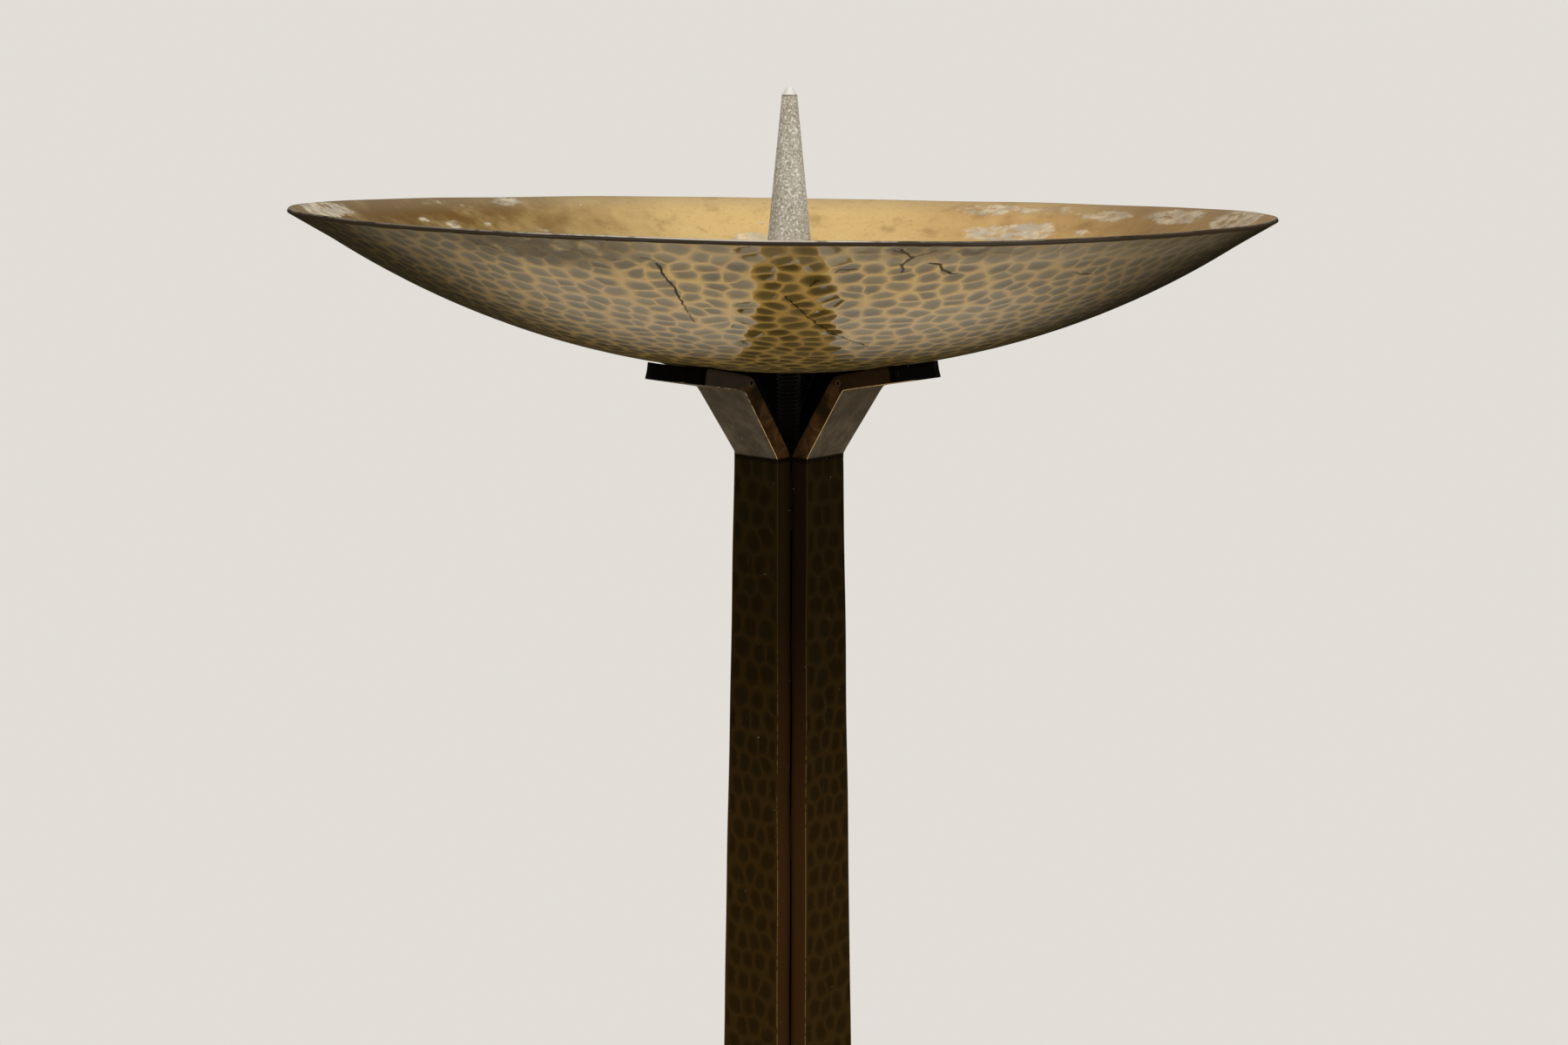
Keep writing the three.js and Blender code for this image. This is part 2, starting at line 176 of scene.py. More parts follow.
class Wire:
    """An output socket that can be used in sums."""

    def __init__(self, nodes, socket):
        self.nodes = nodes
        self.socket = socket

    __add__ = arithmetic("ADD")
    __radd__ = reflected("ADD")
    __sub__ = arithmetic("SUBTRACT")
    __rsub__ = reflected("SUBTRACT")
    __mul__ = arithmetic("MULTIPLY")
    __rmul__ = reflected("MULTIPLY")
    __truediv__ = arithmetic("DIVIDE")
    __pow__ = arithmetic("POWER")
    __mod__ = arithmetic("FLOORED_MODULO")
    least = arithmetic("MINIMUM")
    most = arithmetic("MAXIMUM")

    def one(self, operation):
        """A Math node of one number."""
        return self.nodes.add("ShaderNodeMath", {"operation": operation}, {0: self})

    def smooth(self, low, high, start=0.0, end=1.0):
        """Goes smoothly from start to end between low and high."""
        settings = {"interpolation_type": "SMOOTHSTEP"}
        values = {"Value": self, "From Min": low, "From Max": high, "To Min": start, "To Max": end}
        return self.nodes.add("ShaderNodeMapRange", settings, values)

    def fade(self, low, high):
        """Falls smoothly from one to nothing between low and high."""
        return self.smooth(low, high, 1.0, 0.0)

    def beside(self, value, near, far):
        """One at a value, and nothing from a distance beside it."""
        return (self - value).one("ABSOLUTE").fade(near, far)


class Nodes:
    """The nodes of a material, a world or a geometry tree."""

    def __init__(self, tree):
        self.tree = tree
        tree.nodes.clear()

    def add(self, kind, settings=None, values=None, out=0):
        """A node with its settings, then its sockets' values or links. Gives one of its outputs."""
        node = self.tree.nodes.new(kind)
        for name, value in (settings or {}).items():
            setattr(node, name, value)
        for key, value in (values or {}).items():
            self.feed(node.inputs[key], value)
        return Wire(self, node.outputs[out]) if len(node.outputs) else node

    def feed(self, socket, value):
        """Links a wire to a socket, or sets the socket's own value."""
        if isinstance(value, Wire):
            self.tree.links.new(value.socket, socket)
            return
        if socket.type == "RGBA" and len(value) == 3:
            value = (*value, 1.0)
        socket.default_value = value

    def vector(self, operation, *values, out=0):
        """A Vector Math node."""
        return self.add("ShaderNodeVectorMath", {"operation": operation}, dict(enumerate(values)), out)

    def blend(self, share, first, second):
        """A colour between two colours."""
        return self.add("ShaderNodeMix", {"data_type": "RGBA"}, {0: share, 6: first, 7: second}, out=2)

    def coated(self, colour, *coats):
        """A colour with others laid over it, each given by its share and its colour."""
        for share, coat in coats:
            colour = self.blend(share, colour, coat)
        return colour

    def noise(self, where, scale, detail=3.0, roughness=0.5):
        """Noise about 0.5."""
        values = {"Vector": where, "Scale": scale, "Detail": detail, "Roughness": roughness}
        return self.add("ShaderNodeTexNoise", None, values)

    def angle(self, x, y):
        """The angle about Z of a point of the XY plane."""
        return self.add("ShaderNodeMath", {"operation": "ARCTAN2"}, {0: y, 1: x})

    def bowl_flat(self, where):
        """The point seen from above and measured from the middle of the bowl, which strays to a side."""
        flat = self.vector("MULTIPLY", where, (1.0, 1.0, 0.0))
        share = (self.vector("LENGTH", flat, out=1) * (1 / (BOWL_RADIUS * MM))) ** 3.0
        return self.vector("ADD", flat, self.joined(share * (-RIM_SHIFT * MM)))

    def near(self, out, turn, radius, degrees, length, width):
        """One at a place on the bowl given by radius and angle, fading out over an oval of millimetres."""
        across = (out - radius * MM) / (width * MM)
        along = (turn - math.radians(degrees)) * (radius / length)
        return (across * across + along * along).fade(0.0, 1.0)

    def stroke(self, flat, points, width):
        """One on a line through points of the XY plane, in millimetres, and nothing beside it."""
        nearest = None
        for start, end in zip(points, points[1:]):
            a, b = (Vector((*point, 0.0)) * MM for point in (start, end))
            offset = self.vector("SUBTRACT", flat, tuple(a))
            share = self.vector("DOT_PRODUCT", offset, tuple((b - a) / (b - a).length_squared), out=1)
            share = share.most(0.0).least(1.0)
            foot = self.add("ShaderNodeVectorMath", {"operation": "SCALE"}, {0: tuple(b - a), 3: share})
            distance = self.vector("LENGTH", self.vector("SUBTRACT", offset, foot), out=1)
            nearest = distance if nearest is None else nearest.least(distance)
        return nearest.fade(width * MM * 0.4, width * MM)

    def mark(self, name):
        """A number stored on the mesh."""
        return self.add("ShaderNodeAttribute", {"attribute_name": name}, None, out=2)

    def place(self, scale=(1.0, 1.0, 1.0)):
        """The point on the object, scaled."""
        where = self.add("ShaderNodeTexCoord", None, None, out=3)
        return self.add("ShaderNodeMapping", None, {"Vector": where, "Scale": scale})

    def joined(self, x=0.0, y=0.0, z=0.0):
        """A vector from its three numbers."""
        return self.add("ShaderNodeCombineXYZ", None, {0: x, 1: y, 2: z})

    def axes(self, vector):
        """The three numbers of a vector."""
        node = self.tree.nodes.new("ShaderNodeSeparateXYZ")
        self.feed(node.inputs[0], vector)
        return [Wire(self, output) for output in node.outputs]


def new_finish(name):
    """An empty material and its nodes."""
    material = bpy.data.materials.new(name)
    material.use_nodes = True
    return material, Nodes(material.node_tree)


def surface(nodes, fixed, varied, bump=None, distance=0.0001, strength=1.0):
    """The principled shader: fixed values are set on its sockets, varied ones are linked."""
    shader = nodes.tree.nodes.new("ShaderNodeBsdfPrincipled")
    for name, value in {**fixed, **varied}.items():
        nodes.feed(shader.inputs[name], value)
    if bump is not None:
        values = {"Height": bump, "Distance": distance, "Strength": strength}
        nodes.feed(shader.inputs["Normal"], nodes.add("ShaderNodeBump", None, values))
    output = nodes.tree.nodes.new("ShaderNodeOutputMaterial")
    nodes.tree.links.new(shader.outputs[0], output.inputs["Surface"])


def mottled(
    name, first, second, patches, edges, grains, roughness, specular, depth,
    metallic=0.0, strength=0.5, rub=None,
):
    """A material of two colours in patches, with a fine grain.

    patches and grains are the scale, detail and roughness of two noises. edges are where the second
    colour starts and is full, roughness is its least and what the grain adds, depth and strength are
    the grain's, and rub is the colour of the highest grains.
    """
    material, nodes = new_finish(name)
    where = nodes.place()
    patch = nodes.noise(where, *patches)
    grain = nodes.noise(where, *grains)
    colour = nodes.blend(patch.smooth(*edges), first, second)
    if rub is not None:
        colour = nodes.blend(grain.smooth(0.62, 0.74, 0.0, 0.5), colour, rub)
    least, more = roughness
    surface(
        nodes, {"Metallic": metallic, "Specular IOR Level": specular},
        {"Base Color": colour, "Roughness": grain * more + least},
        bump=grain, distance=depth, strength=strength,
    )
    return material


# Meshes


def new_mesh(name, points, faces, *materials):
    """A mesh from its points in millimetres."""
    mesh = bpy.data.meshes.new(name)
    mesh.from_pydata((np.array(points) * MM).tolist(), [], faces)
    for material in materials:
        mesh.materials.append(material)
    return mesh


def outwards(mesh):
    """Turns a closed mesh's faces outwards."""
    work = bmesh.new()
    work.from_mesh(mesh)
    bmesh.ops.recalc_face_normals(work, faces=work.faces)
    work.to_mesh(mesh)
    work.free()


def shaded(mesh, degrees):
    """Shades a mesh smooth, but for the edges that are sharper than an angle."""
    mesh.shade_smooth()
    mesh.set_sharp_from_angle(angle=math.radians(degrees))


def link(name, data):
    """A new object for a mesh, a lamp or a camera."""
    thing = bpy.data.objects.new(name, data)
    bpy.context.scene.collection.objects.link(thing)
    return thing


def round_faces(rows, count, closed=False):
    """The faces between rings of points, which are numbered ring by ring."""
    faces = []
    for r in range(rows if closed else rows - 1):
        low, high = r * count, (r + 1) % rows * count
        for k in range(count):
            after = (k + 1) % count
            faces.append((low + k, low + after, high + after, high + k))
    return faces


# Hammered surfaces


def triangle_centres(points, triangles):
    """The centre of the circle through each triangle's corners."""
    a, b, c = (points[triangles[:, k]] for k in range(3))
    ab, ac = b - a, c - a
    area = 2 * (ab[:, 0] * ac[:, 1] - ab[:, 1] * ac[:, 0])
    area = np.where(np.abs(area) < CLOSE, CLOSE, area)
    bb, cc = (ab ** 2).sum(1), (ac ** 2).sum(1)
    x = (ac[:, 1] * bb - ab[:, 1] * cc) / area
    y = (ab[:, 0] * cc - ac[:, 0] * bb) / area
    return a + np.stack((x, y), 1)


def hammer_cells(blows, mirrored, snap, step, wander, rng):
    """The cells round the hammer blows, with shared edges.

    mirrored holds blows mirrored over an edge of the sheet, each with that edge's name. Gives the
    points, the names of the edges that each point lies on, and each cell's ring of point numbers.
    """
    flat = np.array([*blows, *(p for p, _ in mirrored)], float)
    names = [edge for _, edge in mirrored]
    count = len(blows)
    made = geometry.delaunay_2d_cdt([Vector(p) for p in flat], [], [], 0, CLOSE)
    triangles = np.array([[made[3][corner][0] for corner in face] for face in made[2]])
    triangles = triangles[(triangles < count).any(1)]
    centres = triangle_centres(flat, triangles)

    sides = {}
    parent = list(range(len(triangles)))

    def root(i):
        while parent[i] != i:
            i = parent[i]
        return i

    for number, corners in enumerate(triangles):
        for k in range(3):
            key = frozenset((int(corners[k]), int(corners[k - 1])))
            if key in sides and np.hypot(*(centres[number] - centres[sides[key]])) < step / 4:
                parent[root(number)] = root(sides[key])
            sides[key] = number

    groups = {}
    for number in range(len(triangles)):
        groups.setdefault(root(number), []).append(number)
    points, edges, point_of = [], [], {}
    for group in groups.values():
        touched = {names[c - count] for number in group for c in triangles[number] if c >= count}
        for number in group:
            point_of[number] = len(points)
        points.append(snap(centres[group].mean(0), touched))
        edges.append(touched)

    corners_of = [set() for _ in range(count)]
    for number, corners in enumerate(triangles):
        for corner in corners:
            if corner < count:
                corners_of[corner].add(point_of[number])

    between = {}

    def edge_points(p, q):
        key = (min(p, q), max(p, q))
        if key not in between:
            start, end = points[key[0]], points[key[1]]
            along = end - start
            length = float(np.hypot(*along))
            parts = max(1, round(length / step))
            shared = edges[key[0]] & edges[key[1]]
            across = np.array((-along[1], along[0])) / max(length, CLOSE)
            row = []
            for k in range(1, parts):
                offset = rng.uniform(-wander, wander)
                middle = start + along * (k / parts) + (0 if shared else offset) * across
                row.append(len(points))
                points.append(snap(middle, shared))
                edges.append(shared)
            between[key] = row
        return between[key] if p == key[0] else between[key][::-1]

    rings = []
    for blow in range(count):
        corners = sorted(
            corners_of[blow],
            key=lambda p: math.atan2(*(points[p] - flat[blow])[::-1]),
        )
        ring = []
        for k, corner in enumerate(corners):
            ring.append(corner)
            ring.extend(edge_points(corner, corners[(k + 1) % len(corners)]))
        rings.append(ring)
    return points, edges, rings


class Sheet:
    """A hammered sheet drawn flat: points with their depth and marks, and faces."""

    def __init__(self):
        self.points = []
        self.depth = []
        self.hollow = []
        self.tone = []
        self.border = []
        self.faces = []
        self.materials = []

    def add(self, point, depth=0.0, hollow=0.0, tone=0.5, border=0.0):
        self.points.append((float(point[0]), float(point[1])))
        self.depth.append(depth)
        self.hollow.append(hollow)
        self.tone.append(tone)
        self.border.append(border)
        return len(self.points) - 1

    def face(self, corners, material=0):
        self.faces.append(corners)
        self.materials.append(material)


# How much of its cell a hammer mark fills, and its rings: width, depth and patina as shares
MARK_FILL = (0.79, 0.93)
MARK_RINGS = ((1.0, 0.1, 0.38), (0.74, 0.62, 0.74), (0.42, 0.92, 0.95))


def dish(sheet, ring, blow, depth, ridge, rng):
    """Fills one cell with the mark of a hammer blow, an oval fitted to the cell."""
    offsets = np.array([sheet.points[p] for p in ring]) - blow
    reach = np.hypot(offsets[:, 0], offsets[:, 1])
    turn = np.arctan2(offsets[:, 1], offsets[:, 0])
    weight = (np.roll(turn, -1) - np.roll(turn, 1)) % math.tau
    weight /= weight.sum()
    mean = (reach * weight).sum()
    wide = 2 * (reach * np.cos(2 * turn) * weight).sum()
    slant = 2 * (reach * np.sin(2 * turn) * weight).sum()
    oval = (mean + wide * np.cos(2 * turn) + slant * np.sin(2 * turn)) * rng.uniform(*MARK_FILL)
    tone = rng.random()
    sink = depth * rng.uniform(0.7, 1.3)
    tilt = np.array((rng.uniform(-1, 1), rng.uniform(-1, 1))) * sink * 0.3 / max(mean, 1)
    outer = ring
    lip = np.minimum(oval, reach - ridge * 0.5)
    for share, low, hollow in MARK_RINGS:
        inner = []
        rounder = lip * share + oval * 0.92 * (1 - share)
        for k, offset in enumerate(offsets * (rounder * share / reach)[:, None]):
            down = sink * low + float(tilt @ offset) * low
            inner.append(sheet.add(blow + offset, down, hollow, tone))
        for k in range(len(ring)):
            after = (k + 1) % len(ring)
            sheet.face((outer[k], outer[after], inner[after], inner[k]))
        outer = inner
    middle = sheet.add(blow, sink, 1.0, tone)
    for k in range(len(ring)):
        sheet.face((outer[k], outer[(k + 1) % len(ring)], middle))


def open_loops(rings):
    """The rings of points round the outside of the cells."""
    onward = {}
    for ring in rings:
        for k, point in enumerate(ring):
            onward[(point, ring[(k + 1) % len(ring)])] = True
    following = {a: b for a, b in onward if (b, a) not in onward}
    loops = []
    while following:
        start, here = following.popitem()
        loop = [start]
        while here != start:
            loop.append(here)
            here = following.pop(here)
        loops.append(loop)
    return loops


def hammered_sheet(blows, mirrored, snap, depth, ridge, step, rng):
    """A sheet covered with hammer marks, and its outer rings with the edges they lie on."""
    points, edges, rings = hammer_cells(blows, mirrored, snap, step, step * 0.12, rng)
    sheet = Sheet()
    for point in points:
        sheet.add(point)
    for blow, ring in zip(blows, rings):
        dish(sheet, ring, np.array(blow), depth(*blow), ridge, rng)
    loops = [[(p, edges[p]) for p in loop] for loop in open_loops(rings)]
    return sheet, loops


def add_levels(sheet, loops, levels, grow, material=0):
    """Carries the outer rings round the sheet's edge, one level after another."""
    current = [[p for p, _ in loop] for loop in loops]
    for amount, depth, marks in levels:
        following = []
        for loop, ring in zip(loops, current):
            row = []
            for (start, touched) in loop:
                point = grow(np.array(sheet.points[start]), touched, amount)
                row.append(sheet.add(point, depth, **marks))
            for k in range(len(row)):
                after = (k + 1) % len(row)
                sheet.face((ring[after], ring[k], row[k], row[after]), material)
            following.append(row)
        current = following
    return current


def back_sheet(sheet, rings, spots, depth, marks, hole=0.0, material=0):
    """Closes the sheet's far side between its last rings, round a hole in its middle if it has one."""
    only_inside = 1
    numbers = [p for ring in rings for p in ring]
    flat = [Vector(sheet.points[p]) for p in numbers]
    sides, start = [], 0
    for ring in rings:
        sides += [(start + k, start + (k + 1) % len(ring)) for k in range(len(ring))]
        start += len(ring)
    for spot in spots:
        numbers.append(sheet.add(spot, depth, **marks))
        flat.append(Vector(spot))
    made = geometry.delaunay_2d_cdt(flat, sides, [], only_inside, CLOSE)
    for face in made[2]:
        corners = [made[3][corner][0] for corner in face]
        middle = sum((flat[c] for c in corners), Vector((0, 0))) / 3
        if middle.length > hole:
            sheet.face(tuple(numbers[c] for c in corners[::-1]), material)


def solid_from(sheet, name, place, materials):
    """A closed mesh object from a flat sheet."""
    points = np.array(sheet.points)
    solid = place(points[:, 0], points[:, 1], np.array(sheet.depth))
    mesh = new_mesh(name, solid, sheet.faces, *materials)
    for key in ("hollow", "tone", "border"):
        layer = mesh.attributes.new(key, "FLOAT", "POINT")
        layer.data.foreach_set("value", np.array(getattr(sheet, key), np.float32))
    mesh.polygons.foreach_set("material_index", sheet.materials)
    outwards(mesh)
    mesh.shade_smooth()
    return link(name, mesh)


# Bowl

# The hammered sheet of the bowl: the flat sheet's inset from its edges, the distance between points
# along a ridge, and how far a blow strays as a share of the spacing
BOWL_INSET = 0.5
BOWL_STEP = 4.2
BLOW_STRAY = 0.29


def ring_spots(first, last, row, spacing, stray, rng):
    """Places in rings round the bowl's middle, each ring staggered against the last."""
    rows = max(1, round((last - first) / row))
    spots = []
    for k in range(rows + 1):
        middle = first + (last - first) * k / rows
        around = BOWL_CURVE * math.sin(min(middle, LIP_START) / BOWL_CURVE)
        count = max(6, round(math.tau * around / spacing))
        start = rng.random()
        for j in range(count):
            turn = math.tau * (j + start + rng.uniform(-stray, stray)) / count
            out = middle + row * rng.uniform(-stray, stray) * 0.9
            spots.append((out * math.cos(turn), out * math.sin(turn)))
    return spots


def bowl_rise(along):
    """Distance from the axis, height and slope of the bowl's outside, by the length along it."""
    angle = np.minimum(along, LIP_START) / BOWL_CURVE
    lip = np.maximum(along - LIP_START, 0.0)
    radius = BOWL_CURVE * np.sin(angle) + lip * math.cos(LIP_SLOPE)
    height = BOWL_CENTRE - BOWL_CURVE * np.cos(angle) + lip * math.sin(LIP_SLOPE)
    share = np.clip((along - LIP_START + LIP_BEND / 2) / LIP_BEND, 0, 1)
    slope = angle + (LIP_SLOPE - angle) * share * share * (3 - 2 * share)
    return radius, height, slope


def bowl_solid(x, y, depth, wave):
    """Points of the bowl in space from the flat sheet and the depth below its outside."""
    along = np.hypot(x, y)
    turn = np.arctan2(y, x)
    radius, height, slope = bowl_rise(along)
    outer = (along / BOWL_LENGTH) ** 3
    for k, cosine, sine in RIM_RISE:
        height = height + outer * (cosine * np.cos(k * turn) + sine * np.sin(k * turn))
    swing = sum(np.sin(k * turn + phase) for k, phase in RIM_WAVES)
    height = height + wave * swing * outer * along / BOWL_LENGTH
    radius = radius - depth * np.sin(slope) - RIM_SHORTFALL * outer
    height = height + depth * np.cos(slope)
    return np.stack((radius * np.cos(turn) + RIM_SHIFT * outer, radius * np.sin(turn), height), 1)


class BowlSettings(bpy.types.PropertyGroup):
    """Sizes and colours of the drip bowl."""

    mark_spacing: span("Mark Spacing", "Distance between hammer marks round the bowl", 11.4)
    row_spacing: span("Row Spacing", "Distance between rows of hammer marks", 9.0)
    mark_depth: span("Mark Depth", "Depth of a hammer mark", 0.22)
    ridge_width: span("Ridge Width", "Half the width of the ridge between two marks", 0.6)
    rim_wave: span("Rim Wave", "Height of the small waves in the rim", 0.09)
    seed: draw_seed("Another number lays the marks another way", 7)
    hollow_colour: tint("Hollow Colour", "Patina inside the hammer marks", (0.104, 0.070, 0.022))
    ridge_colour: tint("Ridge Colour", "Worn brass between the hammer marks", (0.67, 0.42, 0.112))
    inside_colour: tint("Inside Colour", "Brass inside the bowl", (0.56, 0.39, 0.165))
    # Painted shade: the brown that the inside turns to towards its sides.
    painted_side_shade_colour: tint("Stain Colour", "Brown patina inside the bowl", (0.130, 0.068, 0.014))


def bowl_outside_finish(settings):
    """Brown patina in the hammer marks, golden ridges, and a clear lacquer over both."""
    material, nodes = new_finish("bowl_outside")
    where = nodes.place()
    x, y, _ = nodes.axes(where)
    flat = nodes.bowl_flat(where)
    out = nodes.vector("LENGTH", flat, out=1)
    turn = nodes.angle(x, y)
    ragged = nodes.noise(where, 260.0, 3.0) - 0.5
    broad = nodes.noise(where, 16.0, 3.0)
    patch = nodes.noise(where, 55.0, 3.0, 0.6)
    fine = nodes.noise(where, 1100.0, 2.0)
    deep = y.one("ABSOLUTE")
    near_rim = out.smooth(0.236, 0.2465)
    facing = deep / out
    # Painted reflection by side: aside and front mark the part of the underside that faces the front, and
    # the lacquer and the metal's sheen below are laid only there.
    aside = (facing + (broad - 0.5) * 0.12).smooth(0.46, 0.95)
    front = aside * deep.smooth(0.085, 0.185)
    sides = x.one("ABSOLUTE").smooth(0.05, 0.17)
    hollow = (nodes.mark("hollow") + ragged * 0.3).smooth(-0.12, 0.98)
    hollow = hollow + (1 - hollow) * sides * 0.42
    tone = nodes.mark("tone") * 0.5 + patch * 0.5
    dark = nodes.blend(tone.smooth(0.25, 0.75), settings.hollow_colour, (0.198, 0.138, 0.052))
    dark = nodes.blend(sides * 0.6, dark, (0.125, 0.104, 0.064))
    ridge = nodes.blend(broad.smooth(0.3, 0.75), settings.ridge_colour, (0.55, 0.34, 0.104))
    colour = nodes.blend(hollow, ridge, dark)
    soil = nodes.near(out, turn, 243, -119, 62, 22)
    soil = soil.most(nodes.near(out, turn, 246, -78, 64, 12) * 0.7)
    mottle = nodes.noise(where, 70.0, 4.0, 0.62).smooth(0.36, 0.52) * 0.6 + 0.4
    soil = (soil * mottle).most(near_rim * 0.2)
    # Painted reflection: the band under the lip, but for its far left, is lightened to stand in for the
    # reflection that the lip's slope loses.
    lip = out.smooth(0.231, 0.236) * x.smooth(-0.13, -0.08)
    colour = nodes.coated(
        colour,
        (lip * 0.3, (0.42, 0.31, 0.16)),
        (soil * 0.9, (0.080, 0.058, 0.034)),
    )
    smudge = nodes.noise(where, 95.0, 4.0, 0.62).smooth(0.56, 0.66) * soil
    colour = nodes.coated(
        colour,
        (smudge * 0.75, (0.030, 0.020, 0.012)),
        (fine.smooth(0.66, 0.74) * 0.25, (0.50, 0.36, 0.15)),
    )
    # Painted shade: the underside is darkened towards its sides and its lower silhouette as seen from the
    # front, then further at its left and right ends and low down, most on the right, where the lacquer is
    # thinned too; the glint specks below are painted highlights along the lower silhouette.
    shade = 1 - facing.smooth(0.32, 0.82) * deep.smooth(0.045, 0.175)
    colour = nodes.blend(shade * 0.8, colour, (0.026, 0.022, 0.014))
    painted_side_light = 1 - x.smooth(0.05, 0.17) * 0.74 - x.fade(-0.19, -0.105) * 0.5
    painted_side_light = painted_side_light * (1 - deep.fade(0.105, 0.19) * x.smooth(-0.02, 0.04, 0.22, 0.48))
    colour = nodes.blend(1 - painted_side_light, colour, (0.010, 0.009, 0.006))
    glint = nodes.noise(where, 800.0, 2.0).smooth(0.67, 0.73) * deep.fade(0.045, 0.085)
    colour = nodes.blend(glint * 0.7, colour, (0.75, 0.62, 0.36))

    wander = nodes.add("ShaderNodeTexNoise", None, {"Vector": where, "Scale": 240.0}, out=1)
    wander = nodes.vector("SUBTRACT", wander, (0.5, 0.5, 0.5))
    strayed = nodes.vector("ADD", flat, nodes.vector("MULTIPLY", wander, (0.003, 0.003, 0.0)))
    cracked = 0.0
    for width, strength, points in CRACKS:
        cracked = (nodes.stroke(strayed, points, width * 1.25) * strength * 1.1).most(cracked)
    colour = nodes.blend(cracked, colour, (0.014, 0.008, 0.004))

    edge = out.smooth(0.2480, 0.2487)
    # Painted highlight: a pale line along the top of the rim's edge, strongest just left of the middle and
    # weaker at the ends, stands in for light caught on the rim; the rest of the edge is dark brown.
    painted_rim_highlight = nodes.mark("border").smooth(0.35, 0.8) * (patch + ragged * 0.5).smooth(0.3, 0.6)
    painted_rim_highlight = painted_rim_highlight * x.smooth(-0.17, -0.09, 0.3, 0.9) * x.smooth(0.0, 0.06, 1.0, 0.15)
    rim = nodes.blend(painted_rim_highlight, (0.030, 0.021, 0.013), (0.42, 0.38, 0.32))
    colour = nodes.blend(edge, colour, rim)
    coat = (front * 0.98 + 0.01) * painted_side_light * (1 - edge * 0.8) * (1 - soil * 0.55) * (1 - cracked * 0.75)
    fixed = {
        "Specular IOR Level": 0.0, "Specular Tint": (1.0, 0.72, 0.35, 1.0),
        "Coat Roughness": 0.06, "Coat IOR": 1.64,
    }
    varied = {
        "Base Color": colour, "Roughness": hollow * -0.06 + 0.36 + broad * 0.1, "Coat Weight": coat,
        "Metallic": front * 0.38,
    }
    surface(
        nodes, fixed, varied,
        bump=fine * 0.4 + nodes.noise(where, 420.0, 2.0) * 0.6, distance=0.00004, strength=0.5,
    )
    return material


def bowl_inside_finish(settings):
    """Ochre brass, with brown painted shade towards the sides, and a crust of old wax near the rim."""
    material, nodes = new_finish("bowl_inside")
    where = nodes.place()
    x, y, _ = nodes.axes(where)
    out = nodes.vector("LENGTH", nodes.bowl_flat(where), out=1)
    turn = nodes.angle(x, y)
    around = nodes.joined(turn * 0.22, out)
    broad = nodes.noise(where, 13.0, 4.0, 0.55)
    middle = nodes.noise(around, 52.0, 4.0, 0.6)
    fine = nodes.noise(where, 420.0, 3.0, 0.6)
    # Painted light and shade: the brass is left bright, with its metal sheen, in a strip just right of the
    # middle, and turns brown towards the sides.
    aside = (x - 0.022).one("ABSOLUTE") + (broad - 0.5) * 0.05
    painted_side_shade = aside.smooth(0.045, 0.21)
    colour = nodes.blend(painted_side_shade, settings.inside_colour, settings.painted_side_shade_colour)
    colour = nodes.coated(
        colour,
        (x.smooth(0.04, 0.14) * 0.62, (0.49, 0.30, 0.115)),
        (middle.smooth(0.44, 0.72) * 0.28, (0.62, 0.47, 0.20)),
        (middle.fade(0.30, 0.48) * 0.35, (0.12, 0.065, 0.018)),
        (out.smooth(0.232, 0.246) * 0.35, (0.30, 0.24, 0.155)),
        ((fine - 0.5).smooth(0.06, 0.2) * 0.22, (0.16, 0.095, 0.035)),
    )
    crust = 0.0
    for radius, degrees, length, width, strength in CRUSTS:
        crust = nodes.near(out, turn, radius, degrees, length, width) * strength + crust
    strung = nodes.joined(turn * 0.12, out)
    flecks = nodes.noise(strung, 190.0, 5.0, 0.72)
    crust = (crust.least(1.0) * 0.36 + flecks + (middle - 0.5) * 0.3).smooth(0.70, 0.92)
    dusty = nodes.noise(where, 90.0, 3.0).smooth(0.35, 0.65)
    grey = nodes.blend(dusty, (0.66, 0.56, 0.40), (0.40, 0.36, 0.29))
    # The first two coats below are painted shade: darker brown at the right end and at the left end of the
    # inside.
    colour = nodes.coated(
        colour,
        (x.smooth(0.165, 0.215) * 0.55, (0.13, 0.078, 0.034)),
        (x.fade(-0.24, -0.17) * 0.3, (0.075, 0.042, 0.016)),
        (crust * (0.8 - x.smooth(0.14, 0.2) * 0.3), grey),
        (out.smooth(0.2472, 0.2486), (0.16, 0.12, 0.075)),
    )
    fixed = {"Specular IOR Level": 0.05, "Specular Tint": (1.0, 0.8, 0.5, 1.0)}
    varied = {
        "Base Color": colour, "Roughness": 0.5 + broad * 0.2 + crust * 0.2,
        "Metallic": (1 - painted_side_shade) * (1 - crust) * 0.3,
    }
    surface(
        nodes, fixed, varied,
        bump=middle * 0.6 + fine * 0.3 + crust * 0.9, distance=0.0005, strength=0.6,
    )
    return material


